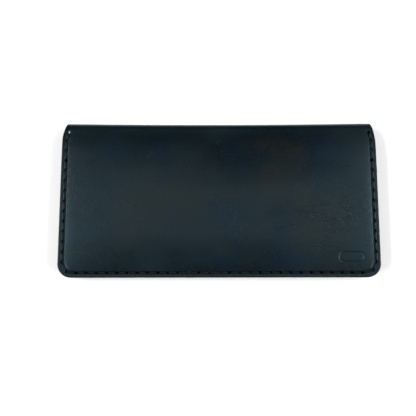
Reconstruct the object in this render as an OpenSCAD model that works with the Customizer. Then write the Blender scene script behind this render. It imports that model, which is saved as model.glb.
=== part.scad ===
// Long bifold wallet in hand-stitched leather, lying closed on its back cover.
// X runs along the wallet, +Y points to the fold, +Z is up; the origin is on the
// surface that the wallet lies on, under its middle.

/* [Size] */
// Length of the wallet along the fold
wallet_w = 190; // [185:1:200]
// Closed height, from the open edge to the outside of the fold
wallet_h = 92; // [90:1:96]
// Closed thickness over the pockets
wallet_t = 12; // [12:0.5:15]
// Corner radius at the open edge
corner_r = 8; // [6:1:9]
// How far each side runs in between the open edge and the fold
side_taper = 2.5; // [0:0.5:3]
// Further cut-in of each side where the cover wraps the fold
fold_nip = 2; // [1:0.5:3]

/* [Leather] */
// Thickness of the outer cover
cover_t = 1.8; // [1.6:0.1:2]
// Thickness of the two bill panels
panel_t = 1; // [0.9:0.1:1.1]
// Thickness of the pocket leather
pocket_t = 0.7; // [0.6:0.1:0.7]
// Room left in each bill compartment when it lies empty
bill_gap = 0.4; // [0.3:0.1:0.5]
// Angle that the cover turns in the easy bend before the fold
ease_angle = 12; // [8:1:14]
// Radius of that easy bend
ease_r = 80; // [70:5:90]

/* [Pockets] */
// Height of the front card pocket above the open edge
card_pocket_h = 46; // [44:1:47]
// Step from one card pocket's mouth to the next
tier_step = 9.5; // [8:0.5:10]
// Mouth of the tall slip pocket above the open edge
tall_pocket_h = 70; // [60:1:72]
// Mouth of the low slip pocket above the open edge
low_pocket_h = 50; // [40:1:56]
// Distance of a card column's inner edge from the middle
column_gap = 2; // [1.5:0.5:3]

/* [Stitching] */
// Stitch length
stitch = 6; // [5.5:0.5:6]
// Distance of the seam from the edge
seam_in = 3; // [2.5:0.5:3.5]
// Width of the waxed thread
thread_w = 1.1; // [0.8:0.1:1.2]
// Width of the groove that the seam lies in
groove_w = 1.8; // [1.4:0.1:1.8]

/* [Hidden] */
$fn = 48;

navy = [0.10, 0.15, 0.20];
inner_navy = [0.14, 0.20, 0.26];
thread_black = [0.04, 0.04, 0.04];

half_w = wallet_w / 2;
half_h = wallet_h / 2;

// The fold: outer radius and centre line, tangent to the easy bend
fold_r = (wallet_t / 2 - ease_r * (1 - cos(ease_angle))) / cos(ease_angle);
fold_y = half_h - fold_r;
fold_mid_r = fold_r - cover_t / 2;
ease_y = fold_y + (fold_r - ease_r) * sin(ease_angle);
// Clearance that the covers keep from the fold as it swings
cover_end_y = fold_y - 0.2;
panel_end_y = fold_y - 0.6;
nip_y = half_h - 10;

// Half the length of the wallet at the height y
function edge_x(y) = half_w - side_taper * max(0, y + half_h - corner_r) / wallet_h
    - fold_nip * max(0, y - nip_y) / (half_h - nip_y);

// Heights in a half, measured inwards from its outer face
rim_z = cover_t;
raised_z = cover_t + bill_gap;
seat_z = rim_z + panel_t;
shelf_z = raised_z + panel_t;
layer_gap = 0.15;
tier_z = [for (k = [0:3]) shelf_z + layer_gap + k * (pocket_t + layer_gap)];
tall_z = shelf_z + 2 * layer_gap;
low_z = tall_z + pocket_t + layer_gap;
low_seat_z = seat_z + pocket_t;

// Plan of the seams and the raised middles
rim_w = 7;
shoulder = 0.2;
raised_x = half_w - rim_w;
raised_y = -half_h + rim_w;
wall_x = raised_x + shoulder;
flange_x = column_gap + 5;
arm_h = tier_step - 0.5;
stem_in = 3.5;
stem_h = 47;
foot_h = 4;
front_mouth = -half_h + card_pocket_h;
mouth_y = [for (k = [0:3]) front_mouth + (3 - k) * tier_step];
tall_mouth = -half_h + tall_pocket_h;
low_mouth = -half_h + low_pocket_h;

// Seam line, from the left end of the fold round the open edge to the right end
seam_y = -half_h + seam_in;
bottom_n = floor(2 * (half_w - seam_in - 2) / stitch);
corner_x = bottom_n * stitch / 2;
corner_y = seam_y + 1.45;
side_start = -half_h + 9.2;
side_end = panel_end_y - 1;
side_n = floor((side_end - side_start - 3) / stitch);
side_up = concat([for (k = [0:side_n]) side_start + k * stitch], [side_end]);
seam = concat(
    [for (y = reversed(side_up)) [seam_in - edge_x(y), y]],
    [[-corner_x, corner_y]],
    [for (k = [1:bottom_n - 1]) [-corner_x + k * stitch, seam_y]],
    [[corner_x, corner_y]],
    [for (y = side_up) [edge_x(y) - seam_in, y]]);
// The points where the seam line turns
side_last = len(side_up) - 1;
seam_last = len(seam) - 1;
turns = [0, 1, side_last, side_last + 1, side_last + 2];
seam_turns = [for (i = concat(turns, [for (t = reversed(turns)) seam_last - t])) seam[i]];
column_seam = [for (y = [-half_h + 10:stitch:mouth_y[0] - 1]) [column_gap + 2.5, y]];
divider_seam = [for (y = [-half_h + 10:stitch:low_mouth - 1]) [0, y]];
floor_n = 13;
floor_y = [for (k = [0:2]) mouth_y[k] - stem_h + foot_h / 2];

hole_d = 1.5;
leg_d = 0.8;
bar_h = 0.5;
// Thread pressed flat under the next pocket
pressed_h = 0.2;
groove_h = 0.6;
hem = 0.05;

// Blank stamp: half its straight length, end radius, line width, depth and place
mark_l = 9;
mark_r = 3;
mark_line = 0.5;
mark_deep = 0.2;
mark_in = 17;
mark_up = 12;

// Rise of a layer over the easy bend, at the height z inwards from the outer face
function rise(y, z = 0) = y <= ease_y ? 0 : (ease_r - z) - sqrt(pow(ease_r - z, 2) - pow(y - ease_y, 2));
function ease_slope(y) = y <= ease_y ? 0 : asin((y - ease_y) / ease_r);

// Section of a layer from y0 to y1, flat and then round the easy bend
function layer_face(z, y0, y1) = concat([[y0, z]], [for (i = [0:8])
    let (y = ease_y + (y1 - ease_y) * i / 8) [y, z + rise(y, z)]]);
function reversed(list) = [for (i = [len(list) - 1:-1:0]) list[i]];
function layer_section(z, t, y0, y1) = concat(layer_face(z, y0, y1), reversed(layer_face(z + t, y0, y1)));

module along_x(x0, x1) translate([x0, 0, 0]) rotate([90, 0, 90]) linear_extrude(x1 - x0) children();
module along_y(y0, y1) translate([0, y1, 0]) rotate([90, 0, 0]) linear_extrude(y1 - y0) children();
module slab(x0, x1, y0, y1, z0, z1) translate([x0, y0, z0]) cube([x1 - x0, y1 - y0, z1 - z0]);

// Puts a half's parts, drawn from its outer face inwards, on top of the closed wallet
module front_half() translate([0, 0, wallet_t]) mirror([0, 0, 1]) children();
module left_side() mirror([1, 0, 0]) children();

// Outline of a half, cut in towards the fold, with round corners at the open edge
module half_outline(top, inset = 0) {
    ys = [-half_h + inset, corner_r - half_h, min(top, nip_y), top];
    right = [for (y = ys) [edge_x(y) - inset, y]];
    left = [for (y = reversed(ys)) [inset - edge_x(y), y]];
    if (inset > 0) polygon(concat(right, left));
    else difference() {
        polygon(concat(right, left));
        for (side = [0, 1]) mirror([side, 0]) corner_cut();
    }
}

// What the round corner takes off the outline
module corner_cut() {
    cx = edge_x(corner_r - half_h) - corner_r;
    cy = corner_r - half_h;
    difference() {
        translate([cx, cy - corner_r - 1]) square([corner_r + 1, corner_r + 1]);
        translate([cx, cy]) circle(corner_r, $fn = 96);
    }
}

module bent_layer(z, t, y1) along_x(-half_w - 1, half_w + 1) polygon(layer_section(z, t, -half_h - 1, y1));

// Straight bar from one hole of a seam towards the next, between heights z0 and z1
module seam_bar(p, q, z0, z1) {
    run = norm(q - p);
    middle = (p + q) / 2;
    pitch_angle = ease_slope(middle[1]) * sign(round(q[1] - p[1]));
    translate([p[0], p[1], rise(p[1])])
        rotate([0, 0, atan2(q[1] - p[1], q[0] - p[0])])
        rotate([0, -pitch_angle, 0])
        translate([0, -thread_w / 2, z0])
        cube([run - leg_d / 2 - 0.2, thread_w, z1 - z0]);
}

// Points moved sideways off a line by d, square to the line at each point
function beside(line, d) = [for (i = [0:len(line) - 1])
    let (run = line[min(i + 1, len(line) - 1)] - line[max(i - 1, 0)])
    line[i] + d / norm(run) * [run[1], -run[0]]];

// Groove cut into the outer face along the seam, running out at the fold
module seam_groove() intersection() {
    bent_layer(-1, groove_h + 1, cover_end_y);
    translate([0, 0, -1]) linear_extrude(cover_t + 2)
        polygon(concat(beside(seam_turns, groove_w / 2), reversed(beside(seam_turns, -groove_w / 2))));
}

module seam_holes(points) {
    for (p = points) translate([p[0], p[1], -1]) cylinder(d = hole_d, h = 10);
}

// One saddle stitch: a bar on the outer side, the leg through the hole, a bar inside
module stitch_clip(p, q, z0, z1, outer_h, inner_h) {
    seam_bar(p, q, z0, z0 + outer_h);
    seam_bar(p, q, z1, z1 + inner_h);
    end_leg(p, z0 + hem, z1 + inner_h - hem);
}

// Height of the seam's inner face where a half carries pockets up to the given mouths
function seam_face(y, mouths) = seat_z + pocket_t * len([for (m = mouths) if (y < m + 0.6) m]);

module outer_seam(mouths) {
    for (i = [0:len(seam) - 2])
        stitch_clip(seam[i], seam[i + 1], hem,
            seam_face(min(seam[i][1], seam[i + 1][1]), mouths) + hem, bar_h, bar_h);
    end_leg(seam[len(seam) - 1], hem, seat_z + hem + bar_h);
}

module inner_seam(points, z0, z1, inner_h) {
    for (i = [0:len(points) - 2])
        stitch_clip(points[i], points[i + 1], z0, z1, layer_gap, inner_h);
    end_leg(points[len(points) - 1], z0, z1 + inner_h);
}

// Thread that stands in one hole
module end_leg(p, z0, z1) translate([p[0], p[1], rise(p[1]) + z0]) cylinder(d = leg_d, h = z1 - z0);

// Covers and the strip of the same leather that wraps the fold
module cover() difference() {
    intersection() {
        bent_layer(0, cover_t, cover_end_y);
        translate([0, 0, -1]) linear_extrude(10) half_outline(cover_end_y + 0.5);
    }
    seam_groove();
    seam_holes(seam);
}

// Plain blind-stamped ring near the open edge, with no lettering
module blank_mark() {
    translate([half_w - mark_in, mark_up - half_h, -mark_deep]) linear_extrude(2 * mark_deep)
        difference() {
            stadium(mark_l, mark_r);
            stadium(mark_l, mark_r - mark_line);
        }
}

module stadium(length, r) {
    square([length, 2 * r], center = true);
    for (side = [-1, 1]) translate([side * length / 2, 0]) circle(r);
}

module back_cover() color(navy) cover();

module front_cover() color(navy) front_half() difference() {
    cover();
    blank_mark();
}

module cover_fold() color(navy) {
    reach = 2 * fold_r;
    fold_w = (edge_x(fold_y) + edge_x(half_h)) / 2;
    along_x(-fold_w, fold_w) translate([fold_y, wallet_t / 2]) intersection() {
        difference() {
            circle(fold_r, $fn = 96);
            circle(fold_r - cover_t, $fn = 96);
        }
        polygon([[0, 0], reach * [sin(ease_angle), -cos(ease_angle)], [reach, -reach],
            [reach, reach], reach * [sin(ease_angle), cos(ease_angle)]]);
    }
}

// A panel whose rim lies on the cover and whose middle stands off it by the bill gap
module bill_panel() difference() {
    intersection() {
        union() {
            difference() {
                bent_layer(rim_z, panel_t, panel_end_y);
                raised_middle();
            }
            intersection() {
                bent_layer(raised_z, panel_t, panel_end_y);
                raised_middle();
            }
        }
        translate([0, 0, -1]) linear_extrude(12) half_outline(panel_end_y);
    }
    seam_holes(seam);
}

module raised_middle() linear_extrude(10) half_outline(half_h, rim_w);

module back_bill_panel() color(inner_navy) difference() {
    bill_panel();
    inner_holes();
}

module front_bill_panel() color(inner_navy) front_half() bill_panel();

// Holes of the two column seams and the pocket floors
module inner_holes() {
    for (side = [-1, 1]) seam_holes([for (p = column_seam) [side * p[0], p[1]]]);
    for (side = [-1, 1], k = [0:2]) seam_holes([for (p = floor_seam(k)) [side * p[0], p[1]]]);
}

function floor_seam(k) = [for (i = [0:floor_n - 1]) [half_w / 2 + (i - (floor_n - 1) / 2) * stitch, floor_y[k]]];

// Section of a pocket across its column: a flange on each seam and a raised middle
function pocket_section(z) = [
    [column_gap, shelf_z], [flange_x + pocket_t, shelf_z], [flange_x + pocket_t, z],
    [wall_x, z], [wall_x, seat_z], [half_w, seat_z],
    [half_w, seat_z + pocket_t], [wall_x + pocket_t, seat_z + pocket_t],
    [wall_x + pocket_t, z + pocket_t], [flange_x, z + pocket_t],
    [flange_x, shelf_z + pocket_t], [column_gap, shelf_z + pocket_t]];

// Section of a T-pocket's stem along the wallet's height, ending in its foot on the panel
function stem_section(z, top, foot) = [
    [top, z], [foot + foot_h + pocket_t, z], [foot + foot_h + pocket_t, shelf_z], [foot, shelf_z],
    [foot, shelf_z + pocket_t], [foot + foot_h, shelf_z + pocket_t],
    [foot + foot_h, z + pocket_t], [top, z + pocket_t]];

// T-pocket on tier k of the right-hand column
module card_tier(k) color(inner_navy) difference() {
    union() {
        card_arm(k, mouth_y[k] - arm_h);
        along_x(flange_x + stem_in, raised_x - stem_in)
            polygon(stem_section(tier_z[k], mouth_y[k] - arm_h + 1, mouth_y[k] - stem_h));
    }
    seam_holes(seam);
    seam_holes(column_seam);
    seam_holes(floor_seam(k));
}

module card_arm(k, bottom) intersection() {
    along_y(bottom, mouth_y[k]) polygon(pocket_section(tier_z[k]));
    linear_extrude(12) half_outline(half_h);
}

// Front card pocket of the right-hand column, closed along the open edge
module card_front() color(inner_navy) difference() {
    union() {
        card_arm(3, raised_y);
        intersection() {
            slab(column_gap, half_w, -half_h, raised_y, seat_z, seat_z + pocket_t);
            translate([0, 0, -1]) linear_extrude(12) half_outline(0);
        }
        slab(flange_x, wall_x + pocket_t, raised_y - pocket_t, raised_y,
            seat_z, tier_z[3] + pocket_t);
    }
    seam_holes(seam);
    seam_holes(column_seam);
}

module card_pocket_right_1() card_tier(0);
module card_pocket_right_2() card_tier(1);
module card_pocket_right_3() card_tier(2);
module card_pocket_right_front() card_front();
module card_pocket_left_1() left_side() card_tier(0);
module card_pocket_left_2() left_side() card_tier(1);
module card_pocket_left_3() left_side() card_tier(2);
module card_pocket_left_front() left_side() card_front();

// Full-width slip pocket: a seam flange on three sides, its middle raised to z
module slip_pocket(seam_z, z, mouth, out) difference() {
    x = raised_x + out;
    y = raised_y - out;
    union() {
        translate([0, 0, seam_z]) linear_extrude(pocket_t) half_outline(mouth);
        slab(-x - pocket_t, x + pocket_t, y - pocket_t, mouth, seam_z, z + pocket_t);
    }
    slab(-x, x, y, half_h, 0, z);
    seam_holes(seam);
}

module tall_slip_pocket() color(inner_navy) front_half() difference() {
    slip_pocket(seat_z, tall_z, tall_mouth, shoulder);
    seam_holes(divider_seam);
}

module low_slip_pocket() color(inner_navy) front_half() difference() {
    slip_pocket(low_seat_z, low_z, low_mouth, shoulder + pocket_t + layer_gap);
    thumb_notch();
    seam_holes(divider_seam);
}

// Shallow thumb cut-outs in the low slip pocket's mouth
module thumb_notch() for (side = [-1, 1])
    translate([side * half_w / 2, low_mouth + 11, 0]) cylinder(r = 17, h = 10);

module back_seam_thread() color(thread_black) outer_seam([mouth_y[0]]);
module front_seam_thread() color(thread_black) front_half() outer_seam([tall_mouth, low_mouth]);

module right_column_thread() color(thread_black)
    inner_seam(column_seam, raised_z - layer_gap, shelf_z + pocket_t + hem, bar_h);
module left_column_thread() left_side() right_column_thread();

module right_pocket_floor_thread() color(thread_black) for (k = [0:2])
    inner_seam(floor_seam(k), raised_z - layer_gap, shelf_z + pocket_t + hem, pressed_h);
module left_pocket_floor_thread() left_side() right_pocket_floor_thread();

module slip_divider_thread() color(thread_black) front_half()
    inner_seam(divider_seam, tall_z - layer_gap, low_z + pocket_t + hem, bar_h);

back_cover();
back_bill_panel();
card_pocket_left_1();
card_pocket_left_2();
card_pocket_left_3();
card_pocket_left_front();
card_pocket_right_1();
card_pocket_right_2();
card_pocket_right_3();
card_pocket_right_front();
back_seam_thread();
left_column_thread();
right_column_thread();
left_pocket_floor_thread();
right_pocket_floor_thread();
cover_fold();
front_cover();
front_bill_panel();
tall_slip_pocket();
low_slip_pocket();
front_seam_thread();
slip_divider_thread();
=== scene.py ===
"""A long bifold wallet in hand-stitched waxed leather, closed, lying on its back cover.

Every leather piece is drawn as a flat pattern (x along the wallet, s up from the open edge) and then
laid into place round the fold. Lengths inside the functions are in millimetres.
"""
import math

import bmesh
import bpy
import numpy as np
from bpy.props import FloatProperty, FloatVectorProperty, IntProperty, PointerProperty
from mathutils import Matrix, Vector
from mathutils.geometry import delaunay_2d_cdt


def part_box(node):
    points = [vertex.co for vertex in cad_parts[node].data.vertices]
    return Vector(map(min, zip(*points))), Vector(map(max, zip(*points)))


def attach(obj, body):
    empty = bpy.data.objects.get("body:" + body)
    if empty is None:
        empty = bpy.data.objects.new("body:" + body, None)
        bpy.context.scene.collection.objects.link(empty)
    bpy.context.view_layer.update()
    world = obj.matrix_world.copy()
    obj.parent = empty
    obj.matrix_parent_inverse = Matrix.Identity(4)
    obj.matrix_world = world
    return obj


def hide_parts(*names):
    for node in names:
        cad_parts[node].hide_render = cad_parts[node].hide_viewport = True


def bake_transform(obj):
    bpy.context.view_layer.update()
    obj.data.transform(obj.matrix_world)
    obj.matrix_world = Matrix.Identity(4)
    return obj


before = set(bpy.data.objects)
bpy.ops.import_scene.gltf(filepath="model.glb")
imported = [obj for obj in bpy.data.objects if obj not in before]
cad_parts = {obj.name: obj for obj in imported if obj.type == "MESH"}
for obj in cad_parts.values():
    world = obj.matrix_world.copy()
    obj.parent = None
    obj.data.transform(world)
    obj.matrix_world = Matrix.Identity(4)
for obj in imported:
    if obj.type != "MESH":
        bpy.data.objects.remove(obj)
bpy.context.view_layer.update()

bl_info = {
    "name": "Long wallet",
    "version": (1, 0, 0),
    "blender": (4, 5, 0),
    "location": "3D View > Sidebar > Wallet",
    "description": "Builds a hand-stitched long wallet around its packed frame",
    "category": "Object",
}

MM = 0.001
COVER_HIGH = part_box("front_cover")[1]
PANEL_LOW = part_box("back_bill_panel")[0]
FOLD_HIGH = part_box("cover_fold")[1]
RIM_STEP = 0.6    # mm between the points along a cut edge
SKIN = 0.02       # mm taken off a layer's thickness, so that layers never share a face
TINY = 1e-3       # keeps a whole number of stitches whole
WHITE = (1.0, 1.0, 1.0, 1.0)
BLACK = (0.0, 0.0, 0.0, 1.0)


# Sizes and colours ---------------------------------------------------------------------------


def length(name, description, default, **more):
    """A length property in metres."""
    return FloatProperty(
        name=name, description=description, default=default, min=0.0,
        unit="LENGTH", precision=5, **more)


def colour(name, description, default):
    return FloatVectorProperty(
        name=name, description=description, default=default, size=3,
        subtype="COLOR", min=0.0, max=1.0)


class WalletShape(bpy.types.PropertyGroup):
    half_length: length("Half length", "From the middle to one end", COVER_HIGH[0])
    half_height: length("Half height", "From the middle to the fold", FOLD_HIGH[1])
    thickness: length("Thickness", "Closed, over the pockets", COVER_HIGH[2])
    corner: length("Corner radius", "At the open edge", 8 * MM)
    taper: length("Side taper", "How far each side runs in up to the fold", 2.5 * MM)
    nip: length("Fold nip", "Further cut-in of each side round the fold", 2 * MM)
    ease_radius: length("Easy bend radius", "Bend of the cover before the fold", 80 * MM)
    ease_angle: FloatProperty(
        name="Easy bend", description="Angle the cover turns before the fold",
        default=math.radians(12), subtype="ANGLE")
    dip: length("Fold dip", "How far the fold line sinks in its middle", 0.8 * MM)


class WalletLeather(bpy.types.PropertyGroup):
    cover: length("Cover", "Thickness of the outer leather", PANEL_LOW[2])
    panel: length("Panel", "Thickness of the bill panels", 1.0 * MM)
    pocket: length("Pocket", "Thickness of the pocket leather", 0.7 * MM)
    bill_gap: length("Bill gap", "Room in an empty bill compartment", 0.4 * MM)
    navy: colour("Navy", "Main dye", (0.0004, 0.0025, 0.0049))
    slate: colour("Slate", "Where the wax has paled the dye", (0.0019, 0.0046, 0.0065))
    umber: colour("Umber", "Where the tan shows through", (0.0038, 0.0045, 0.0034))
    ink: colour("Ink", "Deep blue patches", (0.0002, 0.0028, 0.0088))
    edge: colour("Edge", "Burnished edges", (0.0012, 0.0026, 0.0040))
    flesh: colour("Flesh side", "Brushed inner side of the leather", (0.0030, 0.0066, 0.0105))


class WalletStitching(bpy.types.PropertyGroup):
    stitch: length("Stitch", "Stitch length", 6 * MM)
    inset: length("Inset", "Seam's distance from the edge", 3 * MM)
    groove_width: length("Groove width", "Groove the seam lies in", 1.8 * MM)
    groove_depth: length("Groove depth", "Depth of that groove", 0.32 * MM)
    hole_length: length("Hole length", "Awl hole along the seam", 2.0 * MM)
    hole_width: length("Hole width", "Awl hole across the seam", 2.0 * MM)
    thread_width: length("Thread width", "Width of the flat waxed thread", 1.1 * MM)
    thread_height: length("Thread height", "Thickness of the thread", 0.55 * MM)
    strands: IntProperty(name="Strands", description="Strands twisted together", default=3, min=1)
    twist: FloatProperty(
        name="Twist", description="Turns of the strands in one stitch", default=1.5, min=0.0)
    thread: colour("Thread", "Waxed thread", (0.0036, 0.0047, 0.0050))
    # The melted end's pale colour is a painted glint.
    glint_bead: colour("Melted end", "Melted tip of the thread", (0.30, 0.28, 0.24))


class WalletStage(bpy.types.PropertyGroup):
    floor: colour("Floor", "Pale floor", (0.90, 0.90, 0.90))
    camera_distance: length("Camera distance", "From the front cover", 0.4)
    camera_tilt: FloatProperty(
        name="Camera tilt", description="Lean of the view from straight down",
        default=math.radians(3.5), subtype="ANGLE")
    camera_roll: FloatProperty(
        name="Camera roll", description="Turn of the picture", default=math.radians(0.10),
        subtype="ANGLE")
    lens: FloatProperty(name="Lens", description="Focal length in mm", default=58.80)
    side_light: FloatProperty(
        name="Side lights", description="Power of the two large side lights", default=16.0,
        subtype="POWER", unit="POWER")
    top_light: FloatProperty(
        name="Top light", description="Power of the narrow light overhead", default=2.1,
        subtype="POWER", unit="POWER")
    sky: FloatProperty(
        name="Surround", description="Strength of the pale surround", default=0.13)
    backdrop: FloatProperty(
        name="Backdrop", description="Brightness of the backdrop behind the floor", default=1.0)


# The flat pattern and how it is laid into place ----------------------------------------------


def smooth(low, high, value):
    t = np.clip((np.asarray(value, float) - low) / (high - low), 0, 1)
    return t * t * (3 - 2 * t)


class Pattern:
    """Worked-out lengths of the wallet, in mm, and the way from flat leather to its place."""

    PANEL_END = 0.6             # the bill panels end this far before the fold
    SEAM_NIP = 10.0             # height of the nip that the seam follows
    NIPS = {-1: (8.5, 1.15), 1: (13.0, 1.9)}    # its height and power at the left and right cut edge
    FIRST_SIDE_HOLE = 9.2       # up from the open edge
    LAST_SIDE_HOLE = 1.6        # down from where the fold starts
    LEAST_GAP = 3.0             # between the last two side holes
    SIDE_MARGIN = 2.0           # least room between the corner holes and the side seams
    LEFT_CORNER = (0.8, 0.5)    # the corner holes, in from their even places and up from the seam
    RIGHT_CORNER = (0.0, 1.45)

    def __init__(self, scene):
        shape, leather, sewing = scene.wallet_shape, scene.wallet_leather, scene.wallet_stitching
        self.half_w = shape.half_length / MM
        self.half_h = shape.half_height / MM
        self.thick = shape.thickness / MM
        self.corner = shape.corner / MM
        self.taper = shape.taper / MM
        self.nip = shape.nip / MM
        self.ease_r = shape.ease_radius / MM
        self.ease_a = shape.ease_angle
        self.dip = shape.dip / MM
        self.cover_t = leather.cover / MM
        self.panel_t = leather.panel / MM
        self.pocket_t = leather.pocket / MM
        self.bill_gap = leather.bill_gap / MM
        self.stitch = sewing.stitch / MM
        self.inset = sewing.inset / MM
        self.groove_w = sewing.groove_width / MM
        self.groove_d = sewing.groove_depth / MM
        self.hole_l = sewing.hole_length / MM
        self.hole_w = sewing.hole_width / MM
        self.thread_w = sewing.thread_width / MM
        self.thread_h = sewing.thread_height / MM
        drop = self.ease_r * (1 - math.cos(self.ease_a))
        self.fold_r = (self.thick / 2 - drop) / math.cos(self.ease_a)
        self.fold_y = self.half_h - self.fold_r
        self.ease_y = self.fold_y + (self.fold_r - self.ease_r) * math.sin(self.ease_a)
        self.s_ease = self.ease_y + self.half_h
        self.s_fold = self.s_ease + self.ease_r * self.ease_a
        self.s_apex = self.s_fold + self.fold_r * (math.pi / 2 - self.ease_a)
        self.s_panel = self.s_of(self.fold_y - self.PANEL_END)
        self.nip_y = self.half_h - self.SEAM_NIP

    def s_of(self, y):
        """Pattern height of a point of the closed wallet at y, before the fold."""
        if y <= self.ease_y:
            return y + self.half_h
        return self.s_ease + self.ease_r * math.asin((y - self.ease_y) / self.ease_r)

    def y_of(self, s):
        s = np.asarray(s, float)
        ease = self.ease_y + self.ease_r * np.sin(np.clip(s - self.s_ease, 0, None) / self.ease_r)
        turn = self.ease_a + (s - self.s_fold) / self.fold_r
        fold = self.fold_y + self.fold_r * np.sin(turn)
        return np.where(s <= self.s_ease, s - self.half_h, np.where(s <= self.s_fold, ease, fold))

    def seam_edge(self, y):
        """Edge that the seam is marked from: straight sides, then a straight nip."""
        return (self.half_w - self.taper * max(0, y + self.half_h - self.corner) / (2 * self.half_h)
                - self.nip * max(0, y - self.nip_y) / (self.half_h - self.nip_y))

    def edge_x(self, s, side=1):
        """Cut edge of the leather: a crisp nip on the left, a long soft one on the right."""
        y = self.y_of(s)
        rise = np.clip(y + self.half_h - self.corner, 0, None)
        run = self.half_w - self.taper * rise / (2 * self.half_h)
        height, power = self.NIPS[side]
        start = self.half_h - height
        return run - self.nip * np.clip((y - start) / (self.half_h - start), 0, 1) ** power

    def place(self, x, s, h, front):
        """Flat pattern to the closed wallet: h is the depth in from the outer face."""
        x, s, h = (np.asarray(v, float) for v in (x, s, h))
        x, s, h = np.broadcast_arrays(x, s, h)
        a = np.clip(s - self.s_ease, 0, self.s_fold - self.s_ease) / self.ease_r
        y = np.where(s <= self.s_ease, s - self.half_h, self.ease_y + (self.ease_r - h) * np.sin(a))
        z = np.where(s <= self.s_ease, h, self.ease_r - (self.ease_r - h) * np.cos(a))
        turn = self.ease_a + (s - self.s_fold) / self.fold_r
        in_fold = s > self.s_fold
        y = np.where(in_fold, self.fold_y + (self.fold_r - h) * np.sin(turn), y)
        z = np.where(in_fold, self.thick / 2 - (self.fold_r - h) * np.cos(turn), z)
        y = y - self.dip * np.clip(1 - (x / self.half_w) ** 2, 0, 1) * smooth(
            self.s_ease, self.s_apex, s)
        if front:
            z = self.thick - z
        return np.stack([x, y, z], axis=-1)

    def along(self, s, front):
        """Height on the whole unfolded sheet, so that grain runs on round the fold."""
        return s if front else 2 * self.s_apex - s

    def seam(self):
        """Hole centres of the three-sided seam, from the left end of the fold to the right end."""
        top = self.fold_y - self.LAST_SIDE_HOLE
        start = self.FIRST_SIDE_HOLE - self.half_h
        count = int((top - start - self.LEAST_GAP) / self.stitch + TINY) + 1
        side = [start + self.stitch * k for k in range(count)] + [top]
        spaces = int(2 * (self.half_w - self.inset - self.SIDE_MARGIN) / self.stitch + TINY)
        corner_x = self.stitch * spaces / 2
        low = self.inset
        bottom = [(self.LEFT_CORNER[0] - corner_x, low + self.LEFT_CORNER[1])]
        bottom += [(self.stitch * k - corner_x, low) for k in range(1, spaces)]
        bottom += [(corner_x - self.RIGHT_CORNER[0], low + self.RIGHT_CORNER[1])]
        right = [(self.seam_edge(y) - self.inset, self.s_of(y)) for y in side]
        left = [(-x, s) for x, s in reversed(right)]
        return np.array(left + bottom + right)


# Leather sheets ------------------------------------------------------------------------------


def loop_normals(loop, apex=None):
    """Inward mitred normals of a counter-clockwise loop. Edges on the apex line stay put."""
    before, after = loop - np.roll(loop, 1, axis=0), np.roll(loop, -1, axis=0) - loop
    n1 = np.stack([-before[:, 1], before[:, 0]], axis=1)
    n2 = np.stack([-after[:, 1], after[:, 0]], axis=1)
    n1 /= np.linalg.norm(n1, axis=1, keepdims=True)
    n2 /= np.linalg.norm(n2, axis=1, keepdims=True)
    normal = (n1 + n2) / (1 + np.sum(n1 * n2, axis=1, keepdims=True)).clip(0.5, None)
    if apex is not None:
        on_apex = loop[:, 1] > apex - 1e-6
        normal[on_apex] = 0
        ends = np.where(on_apex)[0]
        right, left = ends[np.argmax(loop[ends, 0])], ends[np.argmin(loop[ends, 0])]
        normal[right] = (-1, 0)
        normal[left] = (1, 0)
    return normal


def inside(points, loop):
    """Which points lie inside a closed loop."""
    x, y = points[:, 0], points[:, 1]
    result = np.zeros(len(points), bool)
    for (x1, y1), (x2, y2) in zip(loop, np.roll(loop, -1, axis=0)):
        if y1 == y2:
            continue
        crosses = ((y1 > y) != (y2 > y)) & (x < (x2 - x1) * (y - y1) / (y2 - y1) + x1)
        result ^= crosses
    return result


def distance_to_line(points, line):
    """Distance from each point to an open line."""
    best = np.full(len(points), 1e9)
    for a, b in zip(line[:-1], line[1:]):
        d = b - a
        t = np.clip(((points - a) @ d) / max(d @ d, 1e-12), 0, 1)
        best = np.minimum(best, np.linalg.norm(points - a - t[:, None] * d, axis=1))
    return best


def distance_to_points(points, centres):
    best = np.full(len(points), 1e9)
    for c in centres:
        best = np.minimum(best, np.linalg.norm(points - c, axis=1))
    return best


def closed(loop):
    return np.vstack([loop, loop[:1]])


def resample(line, step):
    """Points at even steps along an open line, its ends kept."""
    lengths = np.concatenate([[0], np.cumsum(np.linalg.norm(np.diff(line, axis=0), axis=1))])
    count = max(2, int(round(lengths[-1] / step)) + 1)
    t = np.linspace(0, lengths[-1], count)
    return np.stack([np.interp(t, lengths, line[:, k]) for k in (0, 1)], axis=1)


def rounded(corners, radii, step=RIM_STEP):
    """Counter-clockwise loop through corners, each rounded to its radius."""
    corners = np.array(corners, float)
    out = []
    for i, corner in enumerate(corners):
        a = corners[i - 1] - corner
        b = corners[(i + 1) % len(corners)] - corner
        a, b = a / np.linalg.norm(a), b / np.linalg.norm(b)
        r = radii[i]
        half = math.acos(np.clip(a @ b, -1, 1)) / 2
        if r <= 0 or abs(half - math.pi / 2) < 1e-3:
            out.append([corner])
            continue
        reach = r / math.tan(half)
        centre = corner + (a + b) / np.linalg.norm(a + b) * r / math.sin(half)
        start, end = corner + a * reach - centre, corner + b * reach - centre
        turn = math.atan2(start[0] * end[1] - start[1] * end[0], start @ end)
        count = max(3, int(abs(turn) * r / (0.5 * step)))
        angles = np.linspace(0, turn, count + 1)
        cs, sn = np.cos(angles), np.sin(angles)
        out.append(np.stack([centre[0] + start[0] * cs - start[1] * sn,
                             centre[1] + start[0] * sn + start[1] * cs], axis=1))
    loop = []
    for i, part in enumerate(out):
        following = out[(i + 1) % len(out)]
        straight = resample(np.array([part[-1], following[0]]), step)
        loop += list(part) + list(straight[1:-1])
    return np.array(loop)


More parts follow.
